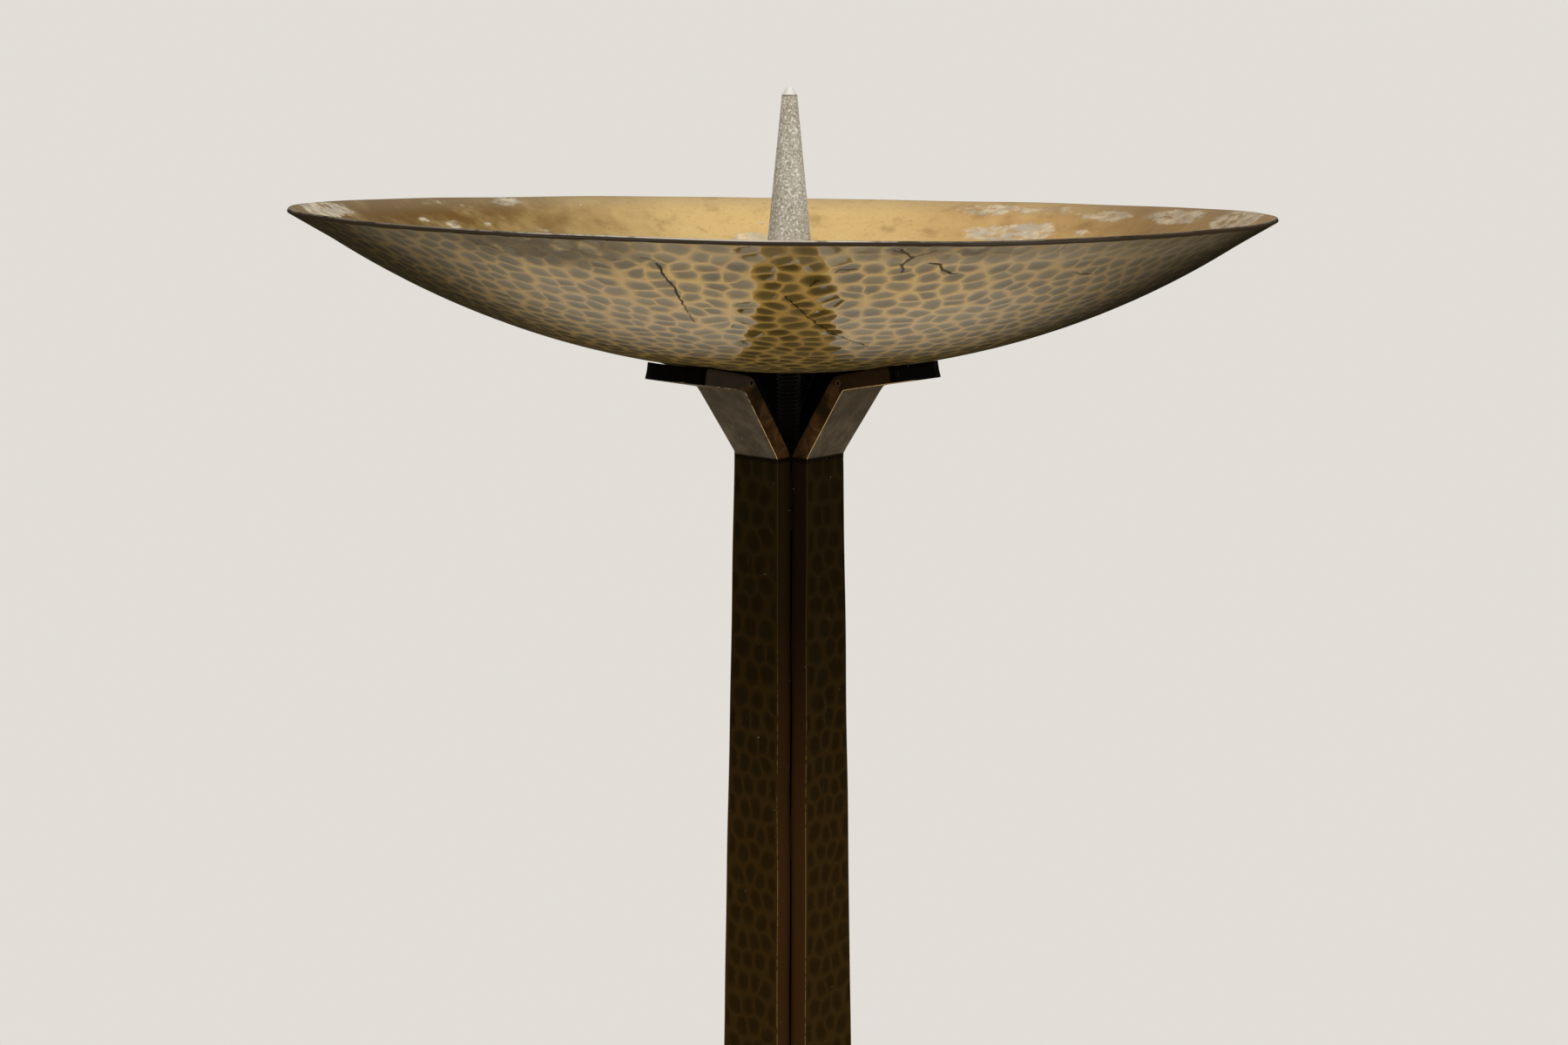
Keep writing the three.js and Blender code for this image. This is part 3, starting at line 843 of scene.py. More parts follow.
class CANDLESTICK_OT_hammer_bowl(bpy.types.Operator):
    """Hammers the drip bowl"""

    bl_idname = "candlestick.hammer_bowl"
    bl_label = "Drip Bowl"

    def execute(self, context):
        settings = context.scene.candlestick_bowl
        rng = random.Random(settings.seed)
        row, spacing = settings.row_spacing / MM, settings.mark_spacing / MM
        edge = BOWL_LENGTH - BOWL_INSET
        start = BOWL_HOLE + BOWL_INSET
        first_row, last_row = start + row * 0.55, edge - row * 0.52
        blows = ring_spots(first_row, last_row, row, spacing, BLOW_STRAY, rng)
        mirrored = []
        for x, y in blows:
            along = math.hypot(x, y)
            for limit, name in ((edge, "rim"), (start, "hole")):
                other = 2 * limit - along
                if abs(other - along) < 3 * row and other > 1:
                    mirrored.append(((x * other / along, y * other / along), name))
        limits = {"rim": edge, "hole": start}

        def snap(point, touched):
            for name in touched:
                return point * (limits[name] / math.hypot(*point))
            return point

        def grow(point, touched, amount):
            sign = 1 if "rim" in touched else -1
            along = math.hypot(*point)
            return point * ((along + sign * amount) / along)

        depth = settings.mark_depth / MM
        sheet, loops = hammered_sheet(
            blows, mirrored, snap, lambda x, y: depth, settings.ridge_width / MM, BOWL_STEP, rng,
        )
        wall, inside = BOWL_WALL, 1
        rounded, shallow, deep = 0.36, 0.25, 0.7
        levels = (
            (rounded, shallow, {}), (BOWL_INSET, deep, {}), (BOWL_INSET, wall - deep, {"border": 0.8}),
            (rounded, wall - shallow, {"border": 1.0}),
        )
        rings = add_levels(sheet, loops, levels, grow)
        loops = [[(p, t) for p, (_, t) in zip(ring, loop)] for ring, loop in zip(rings, loops)]
        rings = add_levels(sheet, loops, ((-rounded, wall, {}),), grow, inside)
        row, spacing, stray = 5.0, 6.0, 0.12
        spots = ring_spots(start + row, edge - row, row, spacing, stray, rng)
        back_sheet(sheet, rings, spots, wall, {}, start, inside)
        wave = settings.rim_wave / MM
        bowl = solid_from(
            sheet, "hammered_bowl", lambda x, y, depth: bowl_solid(x, y, depth, wave),
            [bowl_outside_finish(settings), bowl_inside_finish(settings)],
        )
        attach(bowl, "bowl")
        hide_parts("bowl")
        return {"FINISHED"}


# Bars

# The hammered sheet of a bar: the flat sheet's inset from its edges, the distance between points
# along a ridge, half a ridge's width, and how near an end a blow is mirrored over it
BAR_INSET = 0.7
BAR_STEP = 3.4
BAR_RIDGE = 1.1
END_REACH = 30.0


def bar_tables():
    """The bar's face and back lines, sampled along the face's length."""
    face = np.array(BAR_FACE)
    steps = np.diff(face, axis=0)
    lengths = np.hypot(steps[:, 0], steps[:, 1])
    corners = np.concatenate(([0.0], np.cumsum(lengths)))
    along = steps / lengths[:, None]
    behind = np.stack((-along[:, 1], along[:, 0]), 1)
    back = [face[0] + behind[0] * BAR_THICKNESSES[0]]
    for k in range(1, len(steps)):
        p = face[k] + behind[k - 1] * BAR_THICKNESSES[k - 1]
        q = face[k] + behind[k] * BAR_THICKNESSES[k]
        cross = along[k - 1][0] * along[k][1] - along[k - 1][1] * along[k][0]
        gap = q - p
        reach = (gap[0] * along[k][1] - gap[1] * along[k][0]) / cross
        back.append(p + along[k - 1] * reach)
    back.append(face[-1] + behind[-1] * BAR_THICKNESSES[-1])
    return corners, face, np.array(back)


BAR_CORNERS, BAR_FRONT, BAR_BACK = bar_tables()
BAR_LENGTH = float(BAR_CORNERS[-1])
BAR_NECK = float(BAR_CORNERS[3])


def softened(along, line, softness):
    """A line of points by its length, with its corners rounded."""
    reach = np.linspace(-1, 1, 7) * softness
    held = np.clip(along[:, None] + reach[None, :], 0, BAR_LENGTH)
    return np.stack(
        [np.interp(held, BAR_CORNERS, line[:, k]).mean(1) for k in (0, 1)], 1
    )


def half_width(along):
    """Half the bar's width."""
    return np.interp(along, BAR_CORNERS, BAR_WIDTHS) / 2


def bar_solid(u, v, depth, turn, stray):
    """Points of a bar in space: u runs along its face, v across, and depth is a share of its thickness.

    stray is how far its arm and tab reach out more than they should.
    """
    front = softened(u, BAR_FRONT, FACE_SOFTNESS)
    back = softened(u, BAR_BACK, BACK_SOFTNESS)
    tab = np.clip((u - BAR_CORNERS[4] - 4) / 8, 0, 1)
    back[:, 1] += tab * (v ** 2 / (2 * BOWL_CURVE) + TAB_PLAY)
    line = front + (back - front) * depth[:, None]
    line[:, 0] += stray * np.clip((line[:, 1] - BAR_FACE[3][1] - 2) / ARM_RISE, 0, 1)
    angle = math.radians(turn)
    x = line[:, 0] * math.cos(angle) - v * math.sin(angle)
    y = line[:, 0] * math.sin(angle) + v * math.cos(angle)
    return np.stack((x, y, line[:, 1]), 1)


class BarSettings(bpy.types.PropertyGroup):
    """Sizes and colours of the four bars."""

    mark_length: span("Mark Length", "Length of a hammer mark along the bar", 12.2)
    mark_width: span("Mark Width", "Width of a hammer mark", 9.4)
    mark_depth: span("Mark Depth", "Depth of a hammer mark", 0.3)
    seed: draw_seed("Another number lays the marks another way", 31)
    hollow_colour: tint("Hollow Colour", "Patina inside the hammer marks", (0.0085, 0.0048, 0.0010))
    ridge_colour: tint("Ridge Colour", "Patina between the hammer marks", (0.0185, 0.0100, 0.0024))
    satin_colour: tint("Satin Colour", "Smoother brass of the arms", (0.055, 0.044, 0.031))
    worn_colour: tint("Worn Colour", "Bright brass along a rubbed edge", (0.80, 0.52, 0.22))


def bar_spots(length, width, rng):
    """Hammer blows on a bar, in rows that mirror each other over each bend."""
    spots = []
    for k in range(len(BAR_CORNERS) - 1):
        low, high = float(BAR_CORNERS[k]), float(BAR_CORNERS[k + 1])
        rows = max(2, round((high - low) / length))
        pitch = (high - low) / rows
        for j in range(rows):
            at = low + pitch * (j + 0.5)
            if j == 0 and k > 0:
                bend = float(BAR_CORNERS[k])
                spots += [(2 * bend - u, v) for u, v in last_row]
                last_row = []
                continue
            half = float(half_width(at))
            count = max(3, round(2 * half / width))
            shift = 0.25 if j % 2 else -0.25
            row = []
            for i in range(count):
                v = (i + 0.5 + shift + rng.uniform(-0.16, 0.16)) / count
                u = at + rng.uniform(-0.2, 0.2) * pitch
                row.append((u, (2 * v - 1) * half * 0.97))
            if j == rows - 1:
                row = [(at, v) for _, v in row]
                last_row = row
            spots += row
    return spots


def bar_finish(settings):
    """Dark brown patina, lighter on the ridges, rubbed bright along the edges."""
    material, nodes = new_finish("bar_patina")
    where = nodes.place()
    x, y, z = nodes.axes(where)
    wide, deep = x.one("ABSOLUTE"), y.one("ABSOLUTE")
    reach = (wide + deep) * math.sqrt(0.5)
    ragged = nodes.noise(where, 300.0, 3.0) - 0.5
    broad = nodes.noise(where, 18.0, 3.0)
    patch = nodes.noise(where, 70.0, 4.0, 0.6)
    streak = nodes.noise(nodes.place((1.0, 1.0, 0.16)), 420.0, 3.0)
    brushed = nodes.noise(nodes.place((1.0, 1.0, 0.4)), 110.0, 4.0, 0.62)
    arm = z.smooth(0.8975, 0.8985)
    side = nodes.mark("tone").smooth(1.4, 1.6)
    low = z.fade(0.66, 0.84)
    top = z.smooth(0.80, 0.875)

    hollow = (nodes.mark("hollow") + ragged * 0.4).smooth(0.05, 1.0)
    # Partly painted shade under the bowl: the ridges are lighter and more golden lower down and darker at
    # the top, and the hollows show less lower down.
    ridge = nodes.blend(low, settings.ridge_colour, (0.034, 0.0175, 0.0036))
    ridge = nodes.blend(top * 0.75, ridge, (0.0160, 0.0098, 0.0026))
    dark = nodes.blend(patch.smooth(0.4, 0.7), settings.hollow_colour, (0.0078, 0.0066, 0.0022))
    colour = nodes.blend(hollow * (0.85 - low * 0.25), ridge, dark)

    satin = nodes.blend(brushed.smooth(0.34, 0.68), settings.satin_colour, (0.110, 0.087, 0.062))
    satin = nodes.coated(
        satin,
        ((streak - 0.5).smooth(0.04, 0.2) * 0.35, (0.13, 0.105, 0.074)),
        # Painted shade under the bowl: the arms' panels darken towards their tops.
        (z.smooth(0.904, 0.93) * 0.35, (0.050, 0.041, 0.030)),
    )
    colour = nodes.blend(arm, colour, satin)

    # Painted light and shade: the side strips are lighter on the left half of the candlestick than on the
    # right, as lit and shaded copies of one patina, and lighter lower down as well.
    strip = nodes.blend(x.smooth(-0.001, 0.001), (0.0165, 0.0092, 0.0034), (0.0112, 0.0054, 0.0030))
    strip = nodes.blend(low, strip, (0.046, 0.0195, 0.0058))
    brown = nodes.blend(patch.smooth(0.32, 0.66), (0.016, 0.0105, 0.0045), (0.070, 0.030, 0.0095))
    scallop = nodes.add(
        "ShaderNodeTexVoronoi", {"feature": "SMOOTH_F1"},
        {"Vector": where, "Scale": 105.0, "Smoothness": 0.4, "Randomness": 0.8},
    )
    ring = scallop.beside(0.52, 0.0, 0.10) * patch.smooth(0.42, 0.62)
    brown = nodes.blend(ring * 0.45, brown, (0.125, 0.070, 0.030))
    tab = z.smooth(0.936, 0.9385)
    # Painted light and shade: the tabs are greyer and lighter on the left half than on the right.
    tab_tone = nodes.blend(x.smooth(-0.01, 0.01), (0.030, 0.026, 0.019), (0.022, 0.0125, 0.0052))
    brown = nodes.blend(tab * 0.8, brown, tab_tone)
    strip = nodes.blend(arm, strip, brown)
    colour = nodes.blend(side, colour, strip)
    # Painted shade: the arms' end faces and back faces are made near-black, as the shade under the bowl.
    end = (reach + (z - 0.94192) * 0.189).smooth(0.0832, 0.0838) * arm
    inside = nodes.mark("tone").fade(-0.6, -0.2) * arm
    colour = nodes.coated(
        colour,
        (end.most(inside), (0.0016, 0.0013, 0.0010)),
        ((streak - 0.5).smooth(0.14, 0.28) * 0.15, (0.09, 0.062, 0.03)),
    )
    # Painted shade: a dark line along the bend where the column turns into the arms.
    crease = z.beside(0.8968, 0.0002, 0.0022)
    colour = nodes.blend(crease * 0.8, colour, (0.0022, 0.0017, 0.0012))
    for spot, size in PITS:
        gap = nodes.vector("DISTANCE", where, spot, out=1) + ragged * 0.0012
        colour = nodes.blend(gap.fade(size * 0.7, size * 1.5), colour, (0.11, 0.07, 0.035))
        colour = nodes.blend(gap.fade(size * 0.5, size), colour, (0.001, 0.001, 0.001))
    speck = nodes.noise(where, 620.0, 1.0).smooth(0.80, 0.83)
    colour = nodes.blend(speck * 0.6, colour, (0.35, 0.32, 0.26))

    inner = (deep - wide).smooth(0.0, 0.006)
    rubbed = (broad + ragged * 1.2 + x * 3.0).smooth(0.26, 0.52)
    worn = nodes.mark("border").smooth(0.35, 0.85) * inner * rubbed * (arm + low * 0.22 + 0.03)
    colour = nodes.blend(worn, colour, settings.worn_colour)
    fixed = {
        "Specular IOR Level": 0.01, "Specular Tint": (1.0, 0.62, 0.25, 1.0),
    }
    varied = {
        "Base Color": colour, "Roughness": 0.56 + hollow * 0.06 - arm * 0.12,
        "Metallic": arm * (1 - side) * 0.16 + 0.04,
    }
    surface(nodes, fixed, varied, bump=streak * 0.5 + ragged, distance=0.00006, strength=0.6)
    return material


class CANDLESTICK_OT_forge_bars(bpy.types.Operator):
    """Forges the four bars with their feet, arms and tabs"""

    bl_idname = "candlestick.forge_bars"
    bl_label = "Four Bars"

    def execute(self, context):
        settings = context.scene.candlestick_bars
        finish = bar_finish(settings)
        for number, (corner, turn) in enumerate(BAR_TURNS.items()):
            rng = random.Random(settings.seed + number)
            self.forge(settings, corner, turn, rng, finish)
        return {"FINISHED"}

    def forge(self, settings, corner, turn, rng, finish):
        inset = BAR_INSET
        blows = bar_spots(settings.mark_length / MM, settings.mark_width / MM, rng)
        waves = [(rng.uniform(0.02, 0.09), rng.uniform(0, math.tau)) for _ in range(6)]

        def half(u):
            wavy = sum(math.sin(k * u + phase) for k, phase in waves) * 0.09
            return float(half_width(u)) + (wavy if u < BAR_NECK - 4 else 0.0)

        mirrored = []
        for u, v in blows:
            side = half(u) - inset
            mirrored.append(((u, 2 * side - v), "left"))
            mirrored.append(((u, -2 * side - v), "right"))
            if u < END_REACH:
                mirrored.append(((2 * inset - u, v), "foot"))
            if u > BAR_LENGTH - END_REACH:
                mirrored.append(((2 * (BAR_LENGTH - inset) - u, v), "tab"))

        def snap(point, touched):
            u, v = point
            if "foot" in touched:
                u = inset
            if "tab" in touched:
                u = BAR_LENGTH - inset
            for bend in BAR_CORNERS[1:-1]:
                if abs(u - bend) < 0.4:
                    u = float(bend)
            if "left" in touched:
                v = half(u) - inset
            if "right" in touched:
                v = inset - half(u)
            return np.array((u, v))

        def grow(point, touched, amount):
            u, v = point
            u += amount * (("tab" in touched) - ("foot" in touched))
            v += amount * (("left" in touched) - ("right" in touched))
            return np.array((u, v))

        share = settings.mark_depth / MM / BAR_THICKNESSES[2]

        def depth(u, v):
            return share if u < BAR_NECK else share * 0.06

        sheet, loops = hammered_sheet(blows, mirrored, snap, depth, BAR_RIDGE, BAR_STEP, rng)
        side = {"tone": 2.0, "hollow": 0.6}
        levels = (
            (inset * 0.65, 0.010, {}), (inset * 0.92, 0.03, {"border": 1.0}),
            (inset, 0.07, {"tone": 2.0}),
            (inset - 0.12, 0.27, side), (inset - 0.2, 0.5, side), (inset - 0.12, 0.73, side),
            (inset, 0.97, {"tone": 2.0}), (inset * 0.8, 1.0, {"tone": 2.0}),
            (0.0, 1.0, {"tone": -1.0}),
        )
        rings = add_levels(sheet, loops, levels, grow)
        spots = []
        rows = [float(u) for u in BAR_CORNERS[1:-1]]
        for bend in list(rows):
            rows += [bend - 4, bend + 4]
        for u in rows:
            spots += [(u, half(u) * part) for part in (-0.66, -0.33, 0.0, 0.33, 0.66)]
        for u in np.arange(20, BAR_LENGTH - 10, 24):
            if min(abs(u - r) for r in rows) > 8:
                spots += [(float(u), half(u) * part) for part in (-0.4, 0.4)]
        back_sheet(sheet, rings, spots, 1.0, {"hollow": 0.5, "tone": -1.0})
        bar = solid_from(
            sheet, f"hammered_bar_{corner}",
            lambda u, v, depth: bar_solid(u, v, depth, turn, BAR_STRAYS.get(corner, 0.0)), [finish],
        )
        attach(bar, "column")
        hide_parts(f"leg_{corner}")


# Turned pieces


def eased(outline, radius):
    """An outline of (distance from the axis, height) with its corners off the axis rounded."""
    steps = 3
    points = [np.array(p, float) for p in outline]
    line = []
    for k, corner in enumerate(points):
        before, after = points[k - 1], points[(k + 1) % len(points)]
        if corner[0] == 0:
            line.append(corner)
            continue
        sides = [(other - corner) for other in (before, after)]
        cuts = [corner + s * min(radius, np.hypot(*s) * 0.4) / np.hypot(*s) for s in sides]
        for j in range(steps + 1):
            share = j / steps
            line.append(
                cuts[0] * (1 - share) ** 2 + corner * 2 * share * (1 - share) + cuts[1] * share ** 2
            )
    return line


def turned(name, outline, sides, finish):
    """A closed surface of revolution about Z from its closed outline, which may touch the axis."""
    points, rows = [], []
    for radius, height in outline:
        if radius == 0:
            rows.append([len(points)] * sides)
            points.append((0.0, 0.0, height))
            continue
        rows.append(list(range(len(points), len(points) + sides)))
        for k in range(sides):
            angle = math.tau * k / sides
            points.append((radius * math.cos(angle), radius * math.sin(angle), height))
    faces = []
    for k, row in enumerate(rows):
        after = rows[(k + 1) % len(rows)]
        if row[0] == row[1] and after[0] == after[1]:
            continue
        for j in range(sides):
            corners = (row[j], row[(j + 1) % sides], after[(j + 1) % sides], after[j])
            faces.append(tuple(dict.fromkeys(corners)))
    mesh = new_mesh(name, points, faces, finish)
    outwards(mesh)
    shaded(mesh, 40)
    return link(name, mesh)


class PricketSettings(bpy.types.PropertyGroup):
    """Sizes and colours of the pricket and its plate."""

    foot_radius: span("Foot Radius", "Radius of the pricket at its foot", 16.9)
    shoulder_radius: span("Shoulder Radius", "Radius below the tip's chamfer", 3.9)
    tip_radius: span("Tip Radius", "Radius of the flat tip", 1.5)
    chamfer: span("Tip Chamfer", "Height of the tip's chamfer", 3.6)
    steel_colour: tint("Steel Colour", "Dull grey of the turned metal", (0.47, 0.455, 0.39))
    tip_colour: tint("Tip Colour", "Bright metal at the tip", (0.62, 0.59, 0.55))


def pricket_finish(settings):
    """Dull grey metal with a fine cast grain, tan towards the top left, and a filed bright tip."""
    material, nodes = new_finish("pricket_metal")
    where = nodes.place()
    x, _, z = nodes.axes(where)
    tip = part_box("pricket")[1].z
    grain = nodes.noise(where, 1000.0, 3.0, 0.7)
    speck = nodes.noise(where, 760.0, 3.0, 0.6)
    broad = nodes.noise(nodes.place((1.0, 1.0, 0.45)), 60.0, 4.0, 0.6)
    rings = nodes.noise(nodes.place((0.02, 0.02, 1.0)), 1500.0, 2.0)
    colour = nodes.blend(broad.smooth(0.35, 0.65), settings.steel_colour, (0.40, 0.375, 0.31))
    tan = (broad + x * -9.0 + (z - 1.0) * 1.2).smooth(0.5, 0.75)
    colour = nodes.coated(
        colour,
        (tan * 0.4, (0.40, 0.33, 0.22)),
        (grain.smooth(0.50, 0.60) * 0.75, (0.165, 0.150, 0.115)),
        (speck.smooth(0.53, 0.63) * 0.75, (0.80, 0.79, 0.75)),
        (z.smooth(0.985, 1.03, 0.3, 0.0), (0.56, 0.56, 0.50)),
    )
    line = z.beside(tip - 0.0043, 0.0001, 0.0005)
    bright = z.smooth(tip - 0.0040, tip - 0.0037)
    colour = nodes.coated(
        colour,
        (bright, settings.tip_colour),
        (line * 0.7, (0.14, 0.12, 0.095)),
    )
    fixed = {"Specular IOR Level": 0.3}
    rough = 0.54 + grain * 0.12 - bright * 0.08
    surface(
        nodes, fixed, {"Base Color": colour, "Roughness": rough, "Metallic": 0.5 - bright * 0.3},
        bump=grain * 0.7 + speck * 0.5 + rings * 0.25, distance=0.00025, strength=0.8,
    )
    return material


def fibre_finish():
    """Red-brown vulcanised fibre, mottled and slightly shiny."""
    return mottled(
        "vulcanised_fibre", (0.13, 0.055, 0.028), (0.20, 0.10, 0.05),
        patches=(120.0, 4.0, 0.6), edges=(0.3, 0.7), grains=(900.0, 2.0),
        roughness=(0.55, 0.2), specular=0.3, depth=0.0001,
    )


class CANDLESTICK_OT_turn_pricket(bpy.types.Operator):
    """Turns the pricket, its candle plate and the soft washer"""

    bl_idname = "candlestick.turn_pricket"
    bl_label = "Pricket and Plate"

    def execute(self, context):
        settings = context.scene.candlestick_pricket
        steel = pricket_finish(settings)
        low, tip = (corner.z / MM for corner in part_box("pricket"))
        plate_low, plate_top = (corner.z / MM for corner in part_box("pricket_washer"))
        rod_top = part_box("tie_rod")[1].z / MM
        bore, spigot, lip, recess, gap = 6.65, 11.0, 1.2, 0.5, 0.3
        foot = settings.foot_radius / MM
        seat = plate_top - recess + gap
        cone = eased([
            (0.0, rod_top + gap + 3.0), (bore, rod_top + gap), (bore, low), (spigot + lip, low),
            (spigot + lip, low + lip), (spigot, low + lip), (spigot, seat), (foot - 0.1, seat),
            (foot - 0.08, seat + 1.2), (settings.shoulder_radius / MM, tip - settings.chamfer / MM),
            (settings.tip_radius / MM, tip), (0.0, tip),
        ], 0.35)
        pricket = turned("turned_pricket", cone, 96, steel)
        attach(pricket, "pricket")
        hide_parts("pricket")

        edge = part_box("pricket_washer")[1].x / MM
        bore, wide = spigot + gap, foot + gap
        disc = eased([
            (bore, plate_low), (edge, plate_low), (edge, plate_top - 0.8), (edge - 0.8, plate_top),
            (wide, plate_top), (wide, plate_top - recess), (bore, plate_top - recess),
        ], 0.3)
        plate = turned("turned_plate", disc, 96, steel)
        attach(plate, "candle_plate")
        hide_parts("pricket_washer")

        bore, edge = 13.0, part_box("fibre_washer")[1].x / MM
        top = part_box("fibre_washer")[1].z / MM

        def floor(radius):
            return BOWL_CENTRE - math.sqrt((BOWL_CURVE - BOWL_WALL) ** 2 - radius ** 2) + gap

        radii = [bore + (edge - bore) * k / 6 for k in range(7)]
        ring = [(r, floor(r)) for r in radii] + [(edge, top), (bore, top)]
        washer = turned("soft_washer", eased(ring, 0.2), 80, fibre_finish())
        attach(washer, "bowl")
        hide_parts("fibre_washer")
        return {"FINISHED"}


# Geometry trees


def new_tree(name, *inputs):
    """An empty geometry tree with a geometry input, named number inputs and a geometry output."""
    whole_numbers = ("Count", "Seed")
    tree = bpy.data.node_groups.new(name, "GeometryNodeTree")
    nodes = Nodes(tree)
    tree.interface.new_socket("Geometry", in_out="INPUT", socket_type="NodeSocketGeometry")
    for label in inputs:
        kind = "NodeSocketInt" if label in whole_numbers else "NodeSocketFloat"
        tree.interface.new_socket(label, in_out="INPUT", socket_type=kind)
    tree.interface.new_socket("Geometry", in_out="OUTPUT", socket_type="NodeSocketGeometry")
    group = tree.nodes.new("NodeGroupInput")
    return nodes, {output.name: Wire(nodes, output) for output in group.outputs if output.name}


def finish_tree(nodes, shape, material):
    """Realises the tree's shape, gives it its material, and sends it out."""
    real = nodes.add("GeometryNodeRealizeInstances", None, {0: shape})
    painted = nodes.add("GeometryNodeSetMaterial", None, {"Geometry": real, "Material": material})
    nodes.feed(nodes.tree.nodes.new("NodeGroupOutput").inputs[0], painted)


def grown(name, mesh, tree, values):
    """The plain mesh that a geometry tree makes of an object's mesh."""
    thing = link(name, mesh)
    modifier = thing.modifiers.new("nodes", "NODES")
    modifier.node_group = tree
    for item in tree.interface.items_tree:
        if item.item_type == "SOCKET" and item.name in values:
            modifier[item.identifier] = values[item.name]
    bpy.context.view_layer.update()
    evaluated = thing.evaluated_get(bpy.context.evaluated_depsgraph_get())
    plain = bpy.data.meshes.new_from_object(evaluated)
    thing.modifiers.remove(modifier)
    thing.data = plain
    outwards(plain)
    return thing


# Rod


class RodSettings(bpy.types.PropertyGroup):
    """Sizes and colours of the threaded rod."""

    pitch: span("Pitch", "Distance between two turns of the thread", 2.117)
    thread_depth: span("Thread Depth", "Depth of the thread", 1.2)
    steel_colour: tint("Steel Colour", "Dark oiled steel", (0.012, 0.0115, 0.010))


def dark_steel_finish(settings):
    """Dark oiled steel with a fine grain and a few lighter rubs."""
    return mottled(
        "dark_steel", settings.steel_colour, (0.022, 0.019, 0.015),
        patches=(90.0, 3.0), edges=(0.35, 0.7), grains=(700.0, 3.0, 0.6),
        roughness=(0.5, 0.2), specular=0.12, depth=0.00008, metallic=0.3, rub=(0.09, 0.08, 0.065),
    )


def thread_tree(material):
    """A rod along Z with a right-handed thread, as a finely divided cylinder drawn in by a formula."""
    inputs = ("Radius", "Length", "Pitch", "Depth")
    nodes, given = new_tree("rod_thread", *inputs)
    radius, length, pitch, depth = (given[label] for label in inputs)
    values = {"Vertices": 32, "Side Segments": length / pitch * 8, "Radius": radius, "Depth": length}
    cylinder = nodes.add("GeometryNodeMeshCylinder", None, values)
    where = nodes.add("GeometryNodeInputPosition")
    x, y, z = nodes.axes(where)
    turn = nodes.angle(x, y) / math.tau
    phase = (z / pitch - turn) % 1.0
    flank = (phase * 2.0 - 1.0).one("ABSOLUTE").smooth(0.10, 0.86)
    end = (length * 0.5 - z.one("ABSOLUTE")).fade(0.0, 0.0012)
    share = 1.0 - flank.most(end) * depth / radius
    moved = nodes.vector("MULTIPLY", where, nodes.joined(share, share, 1.0))
    values = {"Geometry": cylinder, "Position": moved}
    shaped = nodes.add("GeometryNodeSetPosition", None, values)
    finish_tree(nodes, shaped, material)
    return nodes.tree


class CANDLESTICK_OT_cut_thread(bpy.types.Operator):
    """Cuts the threaded rod, and finishes its nut and spring washer"""

    bl_idname = "candlestick.cut_thread"
    bl_label = "Threaded Rod"

    def execute(self, context):
        settings = context.scene.candlestick_rod
        steel = dark_steel_finish(settings)
        low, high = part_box("tie_rod")
        values = {"Radius": high.x, "Length": high.z - low.z, "Pitch": settings.pitch}
        values["Depth"] = settings.thread_depth
        rod = grown("threaded_rod", bpy.data.meshes.new("rod_seed"), thread_tree(steel), values)
        rod.data.transform(Matrix.Translation((0.0, 0.0, (low.z + high.z) / 2)))
        shaded(rod.data, 60)
        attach(rod, "column")
        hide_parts("tie_rod")
        for name in ("neck_washer", "neck_lock_nut"):
            repaint(name, steel)
        return {"FINISHED"}


# Blocks and web


def repaint(node, material):
    """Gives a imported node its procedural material."""
    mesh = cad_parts[node].data
    mesh.materials.clear()
    mesh.materials.append(material)


def block_finish(name, dark, light):
    """Patinated brass inside the column; the web's near-black is painted shade."""
    return mottled(
        name, dark, light,
        patches=(70.0, 4.0, 0.6), edges=(0.3, 0.7), grains=(420.0, 3.0, 0.6),
        roughness=(0.6, 0.15), specular=0.1, depth=0.0001, metallic=0.2,
    )


def web_mesh(name, material):
    """The web in the V between the two back arms, with a brazed bead along both its edges."""
    (low_x, low_z), (high_x, high_z) = BAR_BACK[3], BAR_BACK[4]
    first, last = 0.1, (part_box("back_web")[1].z / MM - low_z) / (high_z - low_z)
    thick, bulge = 5.0, 0.2
    rng = random.Random(3)
    rows, points = 26, []
    for k in range(rows):
        share = first + (last - first) * k / (rows - 1)
        reach = low_x + (high_x - low_x) * share
        half = (BAR_WIDTHS[3] + (BAR_WIDTHS[4] - BAR_WIDTHS[3]) * share) / 2
        side, front = (reach - half) * math.sqrt(0.5), (reach + half) * math.sqrt(0.5)
        bead = 0.9 + rng.uniform(-0.15, 0.15)
        height = low_z + (high_z - low_z) * share
        for x, y in (
            (-side - bead, -0.7), (-side - 0.2, -0.05), (-side + bead, 0.25), (0.0, 0.3),
            (side - bead, 0.25), (side + 0.2, -0.05), (side + bead, -0.7), (side + bead, thick),
            (0.0, thick + bulge), (-side - bead, thick),
        ):
            points.append((x, front + y, height))
    count = len(points) // rows
    faces = round_faces(rows, count)
    faces.append(tuple(range(count)))
    faces.append(tuple(range(len(points) - count, len(points))))
    mesh = new_mesh(name, points, faces, material)
    outwards(mesh)
    shaded(mesh, 50)
    return mesh


class CANDLESTICK_OT_fit_blocks(bpy.types.Operator):
    """Brazes in the web between the back arms, and finishes the blocks inside the column"""

    bl_idname = "candlestick.fit_blocks"
    bl_label = "Blocks and Web"

    def execute(self, context):
        brown = block_finish("block_patina", (0.010, 0.006, 0.0018), (0.026, 0.014, 0.004))
        for name in ("neck_block", "upper_spacer", "middle_spacer", "lower_spacer", "foot_block"):
            repaint(name, brown)
        # Patina and painted shade: the web is near-black, darker than the bars' patina, as the shade under
        # the bowl.
        black = block_finish("web_patina_and_painted_shade", (0.0010, 0.0009, 0.0007), (0.0030, 0.0024, 0.0016))
        web = link("brazed_web", web_mesh("brazed_web", black))
        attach(web, "column")
        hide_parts("back_web")
        return {"FINISHED"}


# Feet


